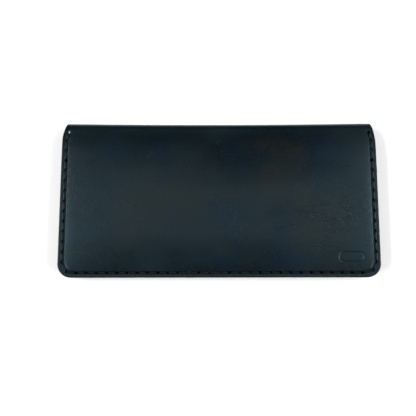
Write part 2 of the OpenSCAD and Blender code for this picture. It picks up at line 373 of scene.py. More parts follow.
def awl_hole(pattern, centre, direction):
    """Diamond awl hole with soft corners, its long way along the seam."""
    angles = np.arange(10) / 10 * 2 * math.pi
    c, s = np.cos(angles), np.sin(angles)
    u = pattern.hole_l / 2 * np.sign(c) * np.abs(c) ** 1.25
    v = pattern.hole_w / 2 * np.sign(s) * np.abs(s) ** 1.25
    d = direction / np.linalg.norm(direction)
    return centre + np.outer(u, d) + np.outer(v, [-d[1], d[0]])


def seam_directions(points):
    ahead = np.vstack([points[1:], points[-1:]])
    behind = np.vstack([points[:1], points[:-1]])
    return ahead - behind


def grid(x0, x1, y0, y1, step_x, step_y):
    xs = np.linspace(x0, x1, max(2, int(round((x1 - x0) / step_x)) + 1))
    ys = np.linspace(y0, y1, max(2, int(round((y1 - y0) / step_y)) + 1))
    return np.array([(x, y) for y in ys for x in xs])


EDGE_ANGLES = [math.radians(a) for a in (62, 34, 0, -34, -62)]    # rows of the domed edge
RIM_CLEAR = 0.15       # room between the rim and the first points of a face
HOLE_CLEAR = 1.12      # how much larger than an awl hole the space round it is
HOLE_REACH = 2.2       # furthest point of an awl hole from its centre, with room
RIM_WEAR = 0.45        # how far the burnish runs in from the cut edge
SAME_PLACE = 1e-5      # points nearer than this are one point
SHARP = math.radians(48)


def leather_sheet(name, pattern, loop, extra, holes, outer, inner, front, round_in,
                  apex=None, shift=(0, 0, 0)):
    """Closed leather piece. outer and inner give the depth of its two faces; the edge is domed.

    loop is the cut edge, extra the points its faces are shaped with, holes the awl holes.
    Faces get material 0 on the outer face, 1 on the inner face and 2 on the cut edge.
    """
    normals = loop_normals(loop, apex)
    rim = loop + normals * round_in
    keep = inside(extra, loop + normals * (round_in + RIM_CLEAR))
    for hole in holes:
        centre = hole.mean(axis=0)
        near = np.linalg.norm(extra - centre, axis=1) < HOLE_REACH
        if near.any():
            grown = centre + (hole - centre) * HOLE_CLEAR
            keep[near] &= ~inside(extra[near], grown)
    extra = extra[keep]
    points = np.vstack([rim] + list(holes) + [extra])
    edges, start = [], 0
    for part in [rim] + list(holes):
        n = len(part)
        edges += [(start + i, start + (i + 1) % n) for i in range(n)]
        start += n
    found, _, faces, origins, _, _ = delaunay_2d_cdt(
        [Vector(p) for p in points], edges, [], 1, SAME_PLACE, True)
    flat = np.array([tuple(v) for v in found])
    index = np.full(len(points), -1)
    for new, olds in enumerate(origins):
        for old in olds:
            index[old] = new
    tri = np.array([f for f in faces if len(f) == 3])
    area = np.cross(flat[tri[:, 1]] - flat[tri[:, 0]], flat[tri[:, 2]] - flat[tri[:, 0]])
    tri[area < 0] = tri[area < 0][:, ::-1]
    centroids = flat[tri].mean(axis=1)
    on_rim = np.isin(tri, index[:len(loop)]).all(axis=1)
    wanted = np.ones(len(tri), bool)
    wanted[on_rim] = inside(centroids[on_rim], flat[index[:len(loop)]])
    for hole in holes:
        near = np.linalg.norm(centroids - hole.mean(axis=0), axis=1) < HOLE_REACH
        wanted[near] &= ~inside(centroids[near], hole)
    tri = tri[wanted]
    used = np.unique(np.concatenate([tri.ravel(), index[:start]]))
    renumber = np.full(len(flat), -1)
    renumber[used] = np.arange(len(used))
    flat, tri, index = flat[used], renumber[tri], renumber[index]
    count = len(flat)
    depth_out, depth_in = outer(flat), inner(flat)

    spots = [np.column_stack([flat, depth_out]), np.column_stack([flat, depth_in])]
    faces = [(tri, 0), (tri[:, ::-1] + count, 1)]
    rows = [index[:len(loop)]]
    total = 2 * count
    rim_out, rim_in = depth_out[rows[0]], depth_in[rows[0]]
    for angle in EDGE_ANGLES:
        ring = loop + normals * round_in * (1 - math.cos(angle))
        depth = rim_out + (rim_in - rim_out) * (1 - math.sin(angle)) / 2
        spots.append(np.column_stack([ring, depth]))
        rows.append(np.arange(total, total + len(loop)))
        total += len(loop)
    rows.append(rows[0] + count)
    quads = []
    for a, b in zip(rows[:-1], rows[1:]):
        quads.append(np.column_stack([a, np.roll(a, -1), np.roll(b, -1), b]))
    begin = len(loop)
    for hole in holes:
        a = index[begin:begin + len(hole)]
        following = np.roll(a, -1)
        quads.append(np.column_stack([a + count, following + count, following, a]))
        begin += len(hole)
    spots = np.vstack(spots)
    place = pattern.place(spots[:, 0], spots[:, 1], spots[:, 2], front) * MM

    mesh = bpy.data.meshes.new(name)
    polygons = [tuple(f) for group, _ in faces for f in group.tolist()]
    materials = [m for group, m in faces for _ in range(len(group))]
    for group in quads:
        polygons += [tuple(f) for f in group.tolist()]
        materials += [2] * len(group)
    mesh.from_pydata(place.tolist(), [], polygons)
    mesh.polygons.foreach_set("material_index", materials)
    sheet = np.column_stack([spots[:, 0], pattern.along(spots[:, 1], front), spots[:, 2]]) * MM
    add_vector(mesh, "sheet", sheet + np.array(shift))
    rim_line = closed(loop) if apex is None else open_at_apex(loop, apex)
    from_rim = np.zeros(len(spots))
    from_rim[:count] = from_rim[count:2 * count] = distance_to_line(flat, rim_line[::3])
    add_value(mesh, "rim", np.exp(-from_rim / RIM_WEAR))
    face_up(mesh)
    mesh.shade_smooth()
    mesh.set_sharp_from_angle(angle=SHARP)
    return linked(name, mesh)


def open_at_apex(loop, apex):
    """The cut edge without the line where the two halves of the cover meet."""
    on_apex = loop[:, 1] > apex - 1e-6
    start = np.argmax(on_apex & ~np.roll(on_apex, -1))
    ordered = np.roll(loop, -start, axis=0)
    last = np.argmax(ordered[1:, 1] > apex - 1e-6) + 1
    return ordered[:last + 1]


def linked(name, data):
    """New object at the origin, linked to the scene."""
    obj = bpy.data.objects.new(name, data)
    bpy.context.scene.collection.objects.link(obj)
    return obj


def add_vector(mesh, name, values):
    layer = mesh.attributes.new(name, "FLOAT_VECTOR", "POINT")
    layer.data.foreach_set("vector", np.asarray(values, np.float32).ravel())


def add_value(mesh, name, values):
    layer = mesh.attributes.new(name, "FLOAT", "POINT")
    layer.data.foreach_set("value", np.asarray(values, np.float32))


def face_up(mesh):
    """Turns every face of a closed piece outwards."""
    work = bmesh.new()
    work.from_mesh(mesh)
    bmesh.ops.recalc_face_normals(work, faces=work.faces)
    if work.calc_volume(signed=True) < 0:
        bmesh.ops.reverse_faces(work, faces=work.faces)
    work.to_mesh(mesh)
    work.free()


# Shader node groups --------------------------------------------------------------------------


class Nodes:
    """Short way to lay shader or geometry nodes in a tree."""

    def __init__(self, tree):
        self.tree = tree

    def fill(self, socket, value):
        """Links an output to a socket, or sets a plain value on it."""
        if isinstance(value, bpy.types.NodeSocket):
            self.tree.links.new(value, socket)
        else:
            socket.default_value = value

    def add(self, kind, inputs=None, **settings):
        node = self.tree.nodes.new(kind)
        for key, value in settings.items():
            setattr(node, key, value)
        for key, value in (inputs or {}).items():
            self.fill(node.inputs[key], value)
        return node

    def attribute(self, name, output="Fac"):
        return self.add("ShaderNodeAttribute", attribute_name=name).outputs[output]

    def math(self, operation, a, b=0.0, clamp=False):
        node = self.add("ShaderNodeMath", {0: a, 1: b}, operation=operation)
        node.use_clamp = clamp
        return node.outputs[0]

    def vector(self, operation, a, b=(0.0, 0.0, 0.0)):
        node = self.add("ShaderNodeVectorMath", {0: a, 1: b}, operation=operation)
        return node.outputs["Value" if operation == "LENGTH" else "Vector"]

    def scaled(self, vector, factor):
        return self.add("ShaderNodeVectorMath", {0: vector, "Scale": factor}, operation="SCALE").outputs[0]

    def span(self, value, low, high, out_low=0.0, out_high=1.0):
        node = self.add("ShaderNodeMapRange", {
            "Value": value, "From Min": low, "From Max": high,
            "To Min": out_low, "To Max": out_high}, interpolation_type="SMOOTHSTEP")
        return node.outputs["Result"]

    def mix(self, factor, a, b):
        node = self.add("ShaderNodeMix", data_type="RGBA")
        for index, value in ((0, factor), (6, a), (7, b)):
            self.fill(node.inputs[index], value)
        return node.outputs[2]

    def noise(self, vector, scale, detail=3.0, roughness=0.5, distortion=0.0):
        node = self.add("ShaderNodeTexNoise", {
            "Vector": vector, "Scale": scale, "Detail": detail,
            "Roughness": roughness, "Distortion": distortion})
        return node.outputs["Fac"]

    def moved(self, vector, location=(0, 0, 0), rotation=(0, 0, 0), scale=(1, 1, 1)):
        node = self.add("ShaderNodeMapping", {
            "Vector": vector, "Location": location, "Rotation": rotation, "Scale": scale})
        return node.outputs[0]

    def spun(self, vector, angle):
        node = self.add("ShaderNodeVectorRotate", {"Vector": vector, "Angle": angle},
                        rotation_type="Z_AXIS")
        return node.outputs[0]

    def parts(self, vector):
        return self.add("ShaderNodeSeparateXYZ", {0: vector}).outputs

    def put(self, build, inputs):
        """A shader node group, built once, with its inputs."""
        node = self.add("ShaderNodeGroup", node_tree=shared(build.__name__, build))
        for key, value in inputs.items():
            self.fill(node.inputs[key], value)
        return node

    def bump(self, height, shader):
        """Relief from a height in millimetres."""
        node = self.add("ShaderNodeBump", {"Height": height, "Distance": MM})
        self.fill(shader.inputs["Normal"], node.outputs[0])


def group(name, inputs, outputs):
    """New shader node group with its sockets. Returns it with its input and output nodes."""
    tree = bpy.data.node_groups.new(name, "ShaderNodeTree")
    for label, kind, default in inputs:
        socket = tree.interface.new_socket(label, in_out="INPUT", socket_type=kind)
        if default is not None:
            socket.default_value = default
    for label, kind in outputs:
        tree.interface.new_socket(label, in_out="OUTPUT", socket_type=kind)
    n = Nodes(tree)
    return n, n.add("NodeGroupInput"), n.add("NodeGroupOutput")


FLOAT, VECTOR, COLOR = "NodeSocketFloat", "NodeSocketVector", "NodeSocketColor"


def dye_group():
    """Uneven dye of waxed pull-up leather: pale waxy haze, tan and ink patches."""
    n, given, out = group("Uneven dye", [
        ("Vector", VECTOR, None), ("Main", COLOR, (0.01, 0.02, 0.03, 1)),
        ("Haze", COLOR, (0.02, 0.03, 0.03, 1)), ("Tan", COLOR, (0.02, 0.02, 0.01, 1)),
        ("Ink", COLOR, (0.0, 0.01, 0.03, 1)), ("Patch Size", FLOAT, 1.0),
        ("Tan Patches", FLOAT, 0.0), ("Ink Patches", FLOAT, 0.0)],
        [("Color", COLOR), ("Haze", FLOAT)])
    haze_scale, tan_scale, ink_scale, speck_scale = 19.0, 26.0, 30.0, 900.0
    cloud = {"detail": 4.0, "roughness": 0.55, "distortion": 0.4}
    tan_strength, ink_strength = 0.85, 0.8
    darkest, palest = 0.54, 1.55
    v = n.scaled(given.outputs["Vector"], given.outputs["Patch Size"])
    haze = n.span(n.noise(n.moved(v, (0.31, 0.07, 0.2)), haze_scale, **cloud), 0.36, 0.66)
    tan = n.noise(n.moved(v, (0.02, 0.43, 0.9)), tan_scale, **cloud)
    tan = n.span(n.math("ADD", tan, given.outputs["Tan Patches"]), 0.50, 0.74)
    ink = n.noise(n.moved(v, (0.77, 0.15, 0.5)), ink_scale, **cloud)
    ink = n.span(n.math("ADD", ink, given.outputs["Ink Patches"]), 0.52, 0.74)
    base = n.mix(haze, given.outputs["Main"], given.outputs["Haze"])
    base = n.mix(n.math("MULTIPLY", tan, tan_strength), base, given.outputs["Tan"])
    base = n.mix(n.math("MULTIPLY", ink, ink_strength), base, given.outputs["Ink"])
    speck = n.noise(v, speck_scale, detail=2.0, roughness=0.6)
    tone = n.add("ShaderNodeHueSaturation", {
        "Color": base, "Value": n.span(speck, 0.25, 0.75, darkest, palest)})
    n.fill(out.inputs["Color"], tone.outputs[0])
    n.fill(out.inputs["Haze"], haze)
    return n.tree


def grain_group():
    """Fine pebble of smooth leather with long soft hand marks. Height in millimetres."""
    n, given, out = group("Leather grain", [
        ("Vector", VECTOR, None), ("Grain Size", FLOAT, 1300.0), ("Grain", FLOAT, 0.015),
        ("Unevenness", FLOAT, 0.05)], [("Height", FLOAT), ("Pores", FLOAT)])
    v = given.outputs["Vector"]
    cells = n.add("ShaderNodeTexVoronoi", {"Vector": v, "Scale": given.outputs["Grain Size"]},
                  feature="DISTANCE_TO_EDGE")
    fine_scale, soft_scale, broad_scale = 2600.0, 900.0, 55.0
    pebble_share, soft_share = 0.6, 1.4
    pebble = n.span(cells.outputs["Distance"], 0.0, 0.16)
    fine = n.noise(v, fine_scale, detail=3.0, roughness=0.6)
    broad = n.noise(v, broad_scale, detail=3.0, distortion=0.3)
    soft = n.noise(n.moved(v, (0.3, 0.6, 0.1)), soft_scale, detail=2.0, roughness=0.6)
    fine = n.math("ADD", fine, n.math("MULTIPLY", soft, soft_share))
    low = n.math("ADD", n.math("MULTIPLY", pebble, pebble_share), fine)
    low = n.math("MULTIPLY", low, given.outputs["Grain"])
    wide = n.math("MULTIPLY", broad, given.outputs["Unevenness"])
    n.fill(out.inputs["Height"], n.math("ADD", low, wide))
    n.fill(out.inputs["Pores"], n.math("SUBTRACT", 1.0, pebble))
    return n.tree


def wrinkle_group():
    """A patch of fine growth wrinkles, fading out from its centre. Height in millimetres."""
    n, given, out = group("Growth wrinkles", [
        ("Vector", VECTOR, None), ("Centre", VECTOR, (0, 0, 0)), ("Reach", FLOAT, 0.03),
        ("Turn", FLOAT, 0.0), ("Spacing", FLOAT, 0.0013), ("Depth", FLOAT, 0.07)],
        [("Height", FLOAT)])
    local = n.vector("SUBTRACT", given.outputs["Vector"], given.outputs["Centre"])
    spun = n.spun(local, given.outputs["Turn"])
    x, y = n.parts(spun)[:2]
    curve = -8.0          # how much the wrinkles bow, per metre
    stretch = 3.4         # how much longer than wide one wrinkle is
    squash = 1.7          # how much longer than high the whole patch is
    breaks = 0.75         # how much of a wrinkle goes where it breaks off
    bow = n.math("MULTIPLY", n.math("MULTIPLY", x, x), curve)
    level = n.math("DIVIDE", n.math("SUBTRACT", y, bow), given.outputs["Spacing"])
    run = n.math("DIVIDE", x, n.math("MULTIPLY", given.outputs["Spacing"], stretch))
    bent = n.add("ShaderNodeCombineXYZ", {0: run, 1: level, 2: 0.7}).outputs[0]
    crinkle = n.noise(bent, 0.9, detail=1.5, distortion=0.3)
    off = n.math("ABSOLUTE", n.math("SUBTRACT", crinkle, 0.5))
    ridge = n.span(off, 0.0, 0.12)
    broken = n.span(n.noise(n.moved(bent, (7.3, 1.9, 0.0)), 0.22, detail=2.0), 0.40, 0.56)
    broken = n.math("SUBTRACT", 1.0, n.math("MULTIPLY", broken, breaks))
    distance = n.vector("LENGTH", n.vector("MULTIPLY", spun, (1.0, squash, 0.0)))
    fade = n.math("SUBTRACT", 1.0, n.span(n.math("DIVIDE", distance, given.outputs["Reach"]), 0.25, 1.0))
    sunk = n.math("MULTIPLY", n.math("SUBTRACT", ridge, 1.0), broken)
    height = n.math("MULTIPLY", sunk, n.math("MULTIPLY", fade, given.outputs["Depth"]))
    n.fill(out.inputs["Height"], height)
    return n.tree


def scratch_group():
    """One light curved scratch: a short part of a thin ring."""
    n, given, out = group("Light scratch", [
        ("Vector", VECTOR, None), ("Centre", VECTOR, (0, 0, 0)), ("Radius", FLOAT, 0.02),
        ("Aim", FLOAT, 1.57), ("Sweep", FLOAT, 0.5), ("Width", FLOAT, 0.0003)],
        [("Mask", FLOAT)])
    local = n.vector("SUBTRACT", given.outputs["Vector"], given.outputs["Centre"])
    x, y = n.parts(n.spun(local, n.math("MULTIPLY", given.outputs["Aim"], -1.0)))[:2]
    radius = n.math("SQRT", n.math("ADD", n.math("MULTIPLY", x, x), n.math("MULTIPLY", y, y)))
    off = n.math("ABSOLUTE", n.math("SUBTRACT", radius, given.outputs["Radius"]))
    line = n.math("SUBTRACT", 1.0, n.span(n.math("DIVIDE", off, given.outputs["Width"]), 0.2, 1.0))
    angle = n.math("ABSOLUTE", n.math("ARCTAN2", y, x))
    ends = n.math("SUBTRACT", 1.0, n.span(n.math("DIVIDE", angle, given.outputs["Sweep"]), 0.6, 1.0))
    worn = n.span(n.noise(given.outputs["Vector"], 700.0, 2.0, 0.6), 0.3, 0.6)
    n.fill(out.inputs["Mask"], n.math("MULTIPLY", n.math("MULTIPLY", line, ends), worn))
    return n.tree


def rgba(c):
    return (c[0], c[1], c[2], 1.0)


def new_material(name):
    material = bpy.data.materials.new(name)
    material.use_nodes = True
    n = Nodes(material.node_tree)
    shader = material.node_tree.nodes["Principled BSDF"]
    return material, n, shader


TAN_PATCHES = [
    # centre (x, s), reach along x and s, strength
    ((-25.0, 50.0), (20.0, 17.0), 0.22), ((42.0, 52.0), (19.0, 15.0), 0.22),
    ((62.0, 28.0), (16.0, 9.0), 0.16), ((-62.0, 34.0), (20.0, 14.0), 0.12),
    ((25.0, 78.0), (18.0, 6.0), 0.14),
]
INK_PATCHES = [
    ((-82.0, 8.0), (13.0, 5.0), 0.24), ((-10.0, 8.0), (34.0, 6.0), 0.20),
    ((45.0, 10.0), (14.0, 7.0), 0.20), ((8.0, 42.0), (7.0, 26.0), 0.16),
    ((-60.0, 74.0), (20.0, 7.0), 0.14), ((60.0, 78.0), (12.0, 7.0), 0.18),
]


def patches(p, spots):
    """Soft hand-rubbed patches, as a value at each point of the flat leather."""
    total = np.zeros(len(p))
    for (x, s), (reach_x, reach_s), strength in spots:
        total += strength * np.exp(-((p[:, 0] - x) / reach_x) ** 2 - ((p[:, 1] - s) / reach_s) ** 2)
    return total


# Near-black painted on the leather in and round each awl hole: painted shade, standing in for the shade
# inside the holes.
PAINTED_HOLE_SHADE = (0.0004, 0.0005, 0.0006, 1.0)
SCRATCH_TONE = (0.030, 0.036, 0.034, 1.0)
SCRATCH_WIDTH = 0.00035
SCRATCHES = [
    # centre (x, s) and radius of each one's circle, aim and half sweep of the part that shows
    ((-81.5, -0.8), 16.0, 1.57, 0.52),
    ((-84.0, 33.0), 7.0, 1.05, 0.30),
    ((-58.2, 82.3), 20.0, -0.52, 0.13),
    ((-9.9, 87.9), 12.0, -0.66, 0.16),
    ((48.6, 30.5), 8.0, 0.79, 0.20),
]


def cover_leather(leather):
    """Waxed, polished outer leather."""
    material, n, shader = new_material("cover_grain")
    sheet = n.attribute("sheet", "Vector")
    rim = n.attribute("rim")
    worn = n.attribute("pressed")
    # awl: mask of the painted shade in and round each awl hole
    awl = n.attribute("awl")
    dye = n.put(dye_group, {
        "Vector": sheet, "Main": rgba(leather.navy), "Haze": rgba(leather.slate),
        "Tan": rgba(leather.umber), "Ink": rgba(leather.ink),
        "Tan Patches": n.attribute("tan"),
        "Ink Patches": n.attribute("ink")})
    grain = n.put(grain_group, {"Vector": sheet})
    wrinkles = n.put(wrinkle_group, {
        "Vector": sheet, "Centre": (0.056, 0.033, 0.0), "Reach": 0.044, "Turn": 0.0})
    marks = None
    for (x, s), radius, aim, sweep in SCRATCHES:
        mark = n.put(scratch_group, {
            "Vector": sheet, "Centre": (x * MM, s * MM, 0.0), "Radius": radius * MM,
            "Aim": aim, "Sweep": sweep, "Width": SCRATCH_WIDTH}).outputs["Mask"]
        marks = mark if marks is None else n.math("MAXIMUM", marks, mark)
    base = n.mix(n.math("MULTIPLY", rim, 0.9, True), dye.outputs["Color"], rgba(leather.edge))
    base = n.mix(n.math("MULTIPLY", worn, 0.8, True), base, rgba(leather.edge))
    # painted shade: the leather turns near-black in and round each awl hole
    base = n.mix(awl, base, PAINTED_HOLE_SHADE)
    base = n.mix(n.math("MULTIPLY", marks, 0.6), base, SCRATCH_TONE)
    n.fill(shader.inputs["Base Color"], base)
    rough = n.span(dye.outputs["Haze"], 0.0, 1.0, 0.27, 0.33)
    rough = n.math("ADD", rough, n.math("MULTIPLY", grain.outputs["Pores"], 0.06))
    rough = n.math("ADD", rough, n.math("MULTIPLY", worn, 0.25))
    rough = n.math("ADD", rough, n.math("MULTIPLY", awl, 0.5))
    n.fill(shader.inputs["Roughness"], rough)
    height = n.math("ADD", grain.outputs["Height"], wrinkles.outputs["Height"])
    height = n.math("SUBTRACT", height, n.math("MULTIPLY", marks, 0.02))
    n.bump(height, shader)
    shader.inputs["Specular IOR Level"].default_value = 0.27
    shader.inputs["Specular Tint"].default_value = (0.57, 0.88, 1.0, 1.0)
    return material


def plain_leather(name, main, haze, leather, size, roughness, grain_depth, sheen=0.0):
    """Inner leather faces: main and haze are its two dye tones."""
    material, n, shader = new_material(name)
    sheet = n.attribute("sheet", "Vector")
    rim = n.attribute("rim")
    dye = n.put(dye_group, {
        "Vector": sheet, "Main": rgba(main), "Haze": rgba(haze), "Tan": rgba(leather.umber),
        "Ink": rgba(leather.ink), "Patch Size": size})
    grain = n.put(grain_group, {"Vector": sheet, "Grain": grain_depth})
    base = n.mix(n.math("MULTIPLY", rim, 0.8, True), dye.outputs["Color"], rgba(leather.edge))
    n.fill(shader.inputs["Base Color"], base)
    rough = n.span(dye.outputs["Haze"], 0.0, 1.0, roughness - 0.04, roughness + 0.06)
    rough = n.math("ADD", rough, n.math("MULTIPLY", grain.outputs["Pores"], 0.05))
    n.fill(shader.inputs["Roughness"], rough)
    n.bump(grain.outputs["Height"], shader)
    shader.inputs["Specular IOR Level"].default_value = 0.22
    shader.inputs["Specular Tint"].default_value = (0.55, 0.86, 1.0, 1.0)
    shader.inputs["Sheen Tint"].default_value = (0.35, 0.62, 0.85, 1.0)
    shader.inputs["Sheen Weight"].default_value = sheen
    shader.inputs["Sheen Roughness"].default_value = 0.5
    return material


def edge_leather(leather):
    """Burnished, waxed cut edge with faint layers."""
    material, n, shader = new_material("burnished_edge")
    sheet = n.attribute("sheet", "Vector")
    fibres = n.noise(n.moved(sheet, scale=(1.0, 1.0, 9.0)), 420.0, 4.0, 0.6)
    tone = n.add("ShaderNodeHueSaturation", {
        "Color": rgba(leather.edge), "Value": n.span(fibres, 0.3, 0.7, 0.65, 1.6)})
    awl = n.attribute("awl")
    # painted shade: the walls of the awl holes are painted near-black
    tone = n.mix(awl, tone.outputs[0], PAINTED_HOLE_SHADE)
    n.fill(shader.inputs["Base Color"], tone)
    rough = n.math("MAXIMUM", n.span(fibres, 0.2, 0.8, 0.42, 0.60), awl)
    n.fill(shader.inputs["Roughness"], rough)
    n.bump(n.math("MULTIPLY", fibres, 0.03), shader)
    shader.inputs["Specular IOR Level"].default_value = 0.12
    return material


def thread_material(name, tone, roughness):
    """Waxed linen thread: fine fibres along each strand, wax in patches."""
    material, n, shader = new_material(name)
    place = n.add("ShaderNodeTexCoord").outputs["Object"]
    fibres = n.noise(place, 5200.0, 2.0, 0.6)
    wax = n.noise(place, 900.0, 2.0, 0.5)
    shade = n.add("ShaderNodeHueSaturation", {
        "Color": rgba(tone), "Value": n.span(fibres, 0.25, 0.75, 0.6, 1.5)})
    n.fill(shader.inputs["Base Color"], shade.outputs[0])
    n.fill(shader.inputs["Roughness"], n.span(wax, 0.3, 0.7, roughness - 0.08, roughness + 0.10))
    n.bump(n.math("MULTIPLY", fibres, 0.05), shader)
    shader.inputs["Specular IOR Level"].default_value = 0.15
    return material


SHARED = {}


def shared(name, build, *args):
    """Builds a group or material once and hands the same one out again."""
    if name not in SHARED:
        SHARED[name] = build(*args)
    return SHARED[name]


def leather_set(kind):
    """The three finishes of a leather piece: outer face, inner face, cut edge."""
    leather = bpy.context.scene.wallet_leather
    edge = shared("edge", edge_leather, leather)
    flesh = shared("flesh", plain_leather, "brushed_flesh", leather.flesh, leather.slate,
                   leather, 2.0, 0.78, 0.05, 0.06)
    if kind == "cover":
        return [shared("cover", cover_leather, leather), flesh, edge]
    grain = shared("inner", plain_leather, "inner_grain", leather.navy, leather.slate,
                   leather, 1.6, 0.46, 0.022)
    return [flesh, grain, edge]


# The pieces ----------------------------------------------------------------------------------


CORNER_POINTS = 19      # round each corner at the open edge
FOLD_POINTS = 16        # up each side of the fold
TOP_GAP = 0.06          # from a side's last point to the top line


def outline(pattern, top):
    """Cut edge of a full-width piece. top runs from the right side to the left one."""
    r = pattern.corner
    turn = np.linspace(0, math.pi / 2, CORNER_POINTS)
    cx = pattern.half_w - r
    low_right = np.stack([cx + r * np.sin(turn), r - r * np.cos(turn)], axis=1)
    sides = []
    for side, end in ((1, top[0][1]), (-1, top[-1][1])):
        rise = np.arange(r + RIM_STEP, min(end, pattern.s_fold) - 0.25, RIM_STEP)
        if end > pattern.s_fold:
            rise = np.append(rise, np.linspace(pattern.s_fold, end - TOP_GAP, FOLD_POINTS))
        sides.append(np.stack([side * pattern.edge_x(rise, side), rise], axis=1))
    low_left = (low_right * [-1, 1])[::-1]
    bottom = resample(np.array([low_left[-1], low_right[0]]), RIM_STEP)[1:-1]
    return np.vstack([low_right, sides[0], top, sides[1][::-1], low_left, bottom])


def level_top(pattern, s, step=1.5):
    """Straight top line at height s, from the right edge to the left one."""
    ends = [(pattern.edge_x(s, 1), s), (-pattern.edge_x(s, -1), s)]
    return resample(np.array(ends, float), step)


COVER_RINGS = (0.85, 1.2, 1.6, 1.9, 2.1, 2.3, 2.55, 2.85, 3.15, 3.45, 3.7, 3.9, 4.1, 4.4, 4.9,
               5.6, 6.5, 7.6)
INNER_RINGS = (0.7, 1.1, 1.5, 1.8, 2.2, 2.6, 3.4, 4.4, 5.4, 6.4, 7.4, 8.4, 9.6)
FIELD_STEP = 1.6            # between the points in the middle of the cover
FOLD_STEP = 0.36            # between the rows round the fold
LAST_STEP = 1.5             # between the points of the row beside the line where the halves meet
LAST_GAP = 0.06             # from that row to the line
STAMP_STRAIGHT = 9.0        # the stamped ring: straight part, radius, and how deep it is pressed
STAMP_RADIUS = 2.75
STAMP_DEPTH = 0.22
STAMP_FIELD = (9.0, 4.5)    # half size of the finer points round it
STAMP_STEP = 0.3


def rings(loop, distances, thin_from, apex=None):
    """Rows of points inside a cut edge, with every other point left out past thin_from."""
    normals = loop_normals(loop, apex)
    return [(loop + normals * d)[::2 if d > thin_from else 1] for d in distances]


def cover_points(pattern, loop, mark=None):
    """Points that carry the groove, the edge bevel, the fold and, on the front, the stamp."""
    parts = rings(loop, COVER_RINGS, 5, pattern.s_apex)
    x = pattern.half_w - 9
    field = grid(-x, x, 9.0, pattern.s_ease, FIELD_STEP, FIELD_STEP)
    x = pattern.half_w - 6.5
    ease = grid(-x, x, pattern.s_ease + 1.2, pattern.s_fold - 1.0, FIELD_STEP, 1.2)
    fold = grid(-x, x, pattern.s_fold - 0.6, pattern.s_apex - FOLD_STEP, FIELD_STEP, FOLD_STEP)
    spaces = 2 * x / LAST_STEP
    row = np.linspace(-x, x, int(round(spaces)) + 1)[:int(spaces)]
    last = np.column_stack([row, np.full(len(row), pattern.s_apex - LAST_GAP)])
    parts += [field, ease, fold, last]
    if mark is not None:
        wide, high = STAMP_FIELD
        clear = (wide + STAMP_STEP, high + STAMP_STEP)
        parts = [p[(np.abs(p - mark) >= clear).any(axis=1)] for p in parts]
        parts.append(grid(mark[0] - wide, mark[0] + wide, mark[1] - high, mark[1] + high,
                          STAMP_STEP, STAMP_STEP))
    return np.vstack(parts)


def stamp_distance(points, centre):
    """Distance to the line of the plain stamped ring."""
    x = np.abs(points[:, 0] - centre[0]) - STAMP_STRAIGHT / 2
    y = points[:, 1] - centre[1]
    return np.abs(np.hypot(np.clip(x, 0, None), y) - STAMP_RADIUS)


def hand_waves(x, s):
    """Slight unevenness of the leather, as it lies over what is inside."""
    return (0.10 * np.sin(x / 23.0 + 0.6) * np.sin(s / 19.0 + 0.4)
            + 0.06 * np.sin(x / 13.0 - s / 17.0 + 1.9)
            + 0.05 * np.cos(x / 31.0 + s / 11.0))


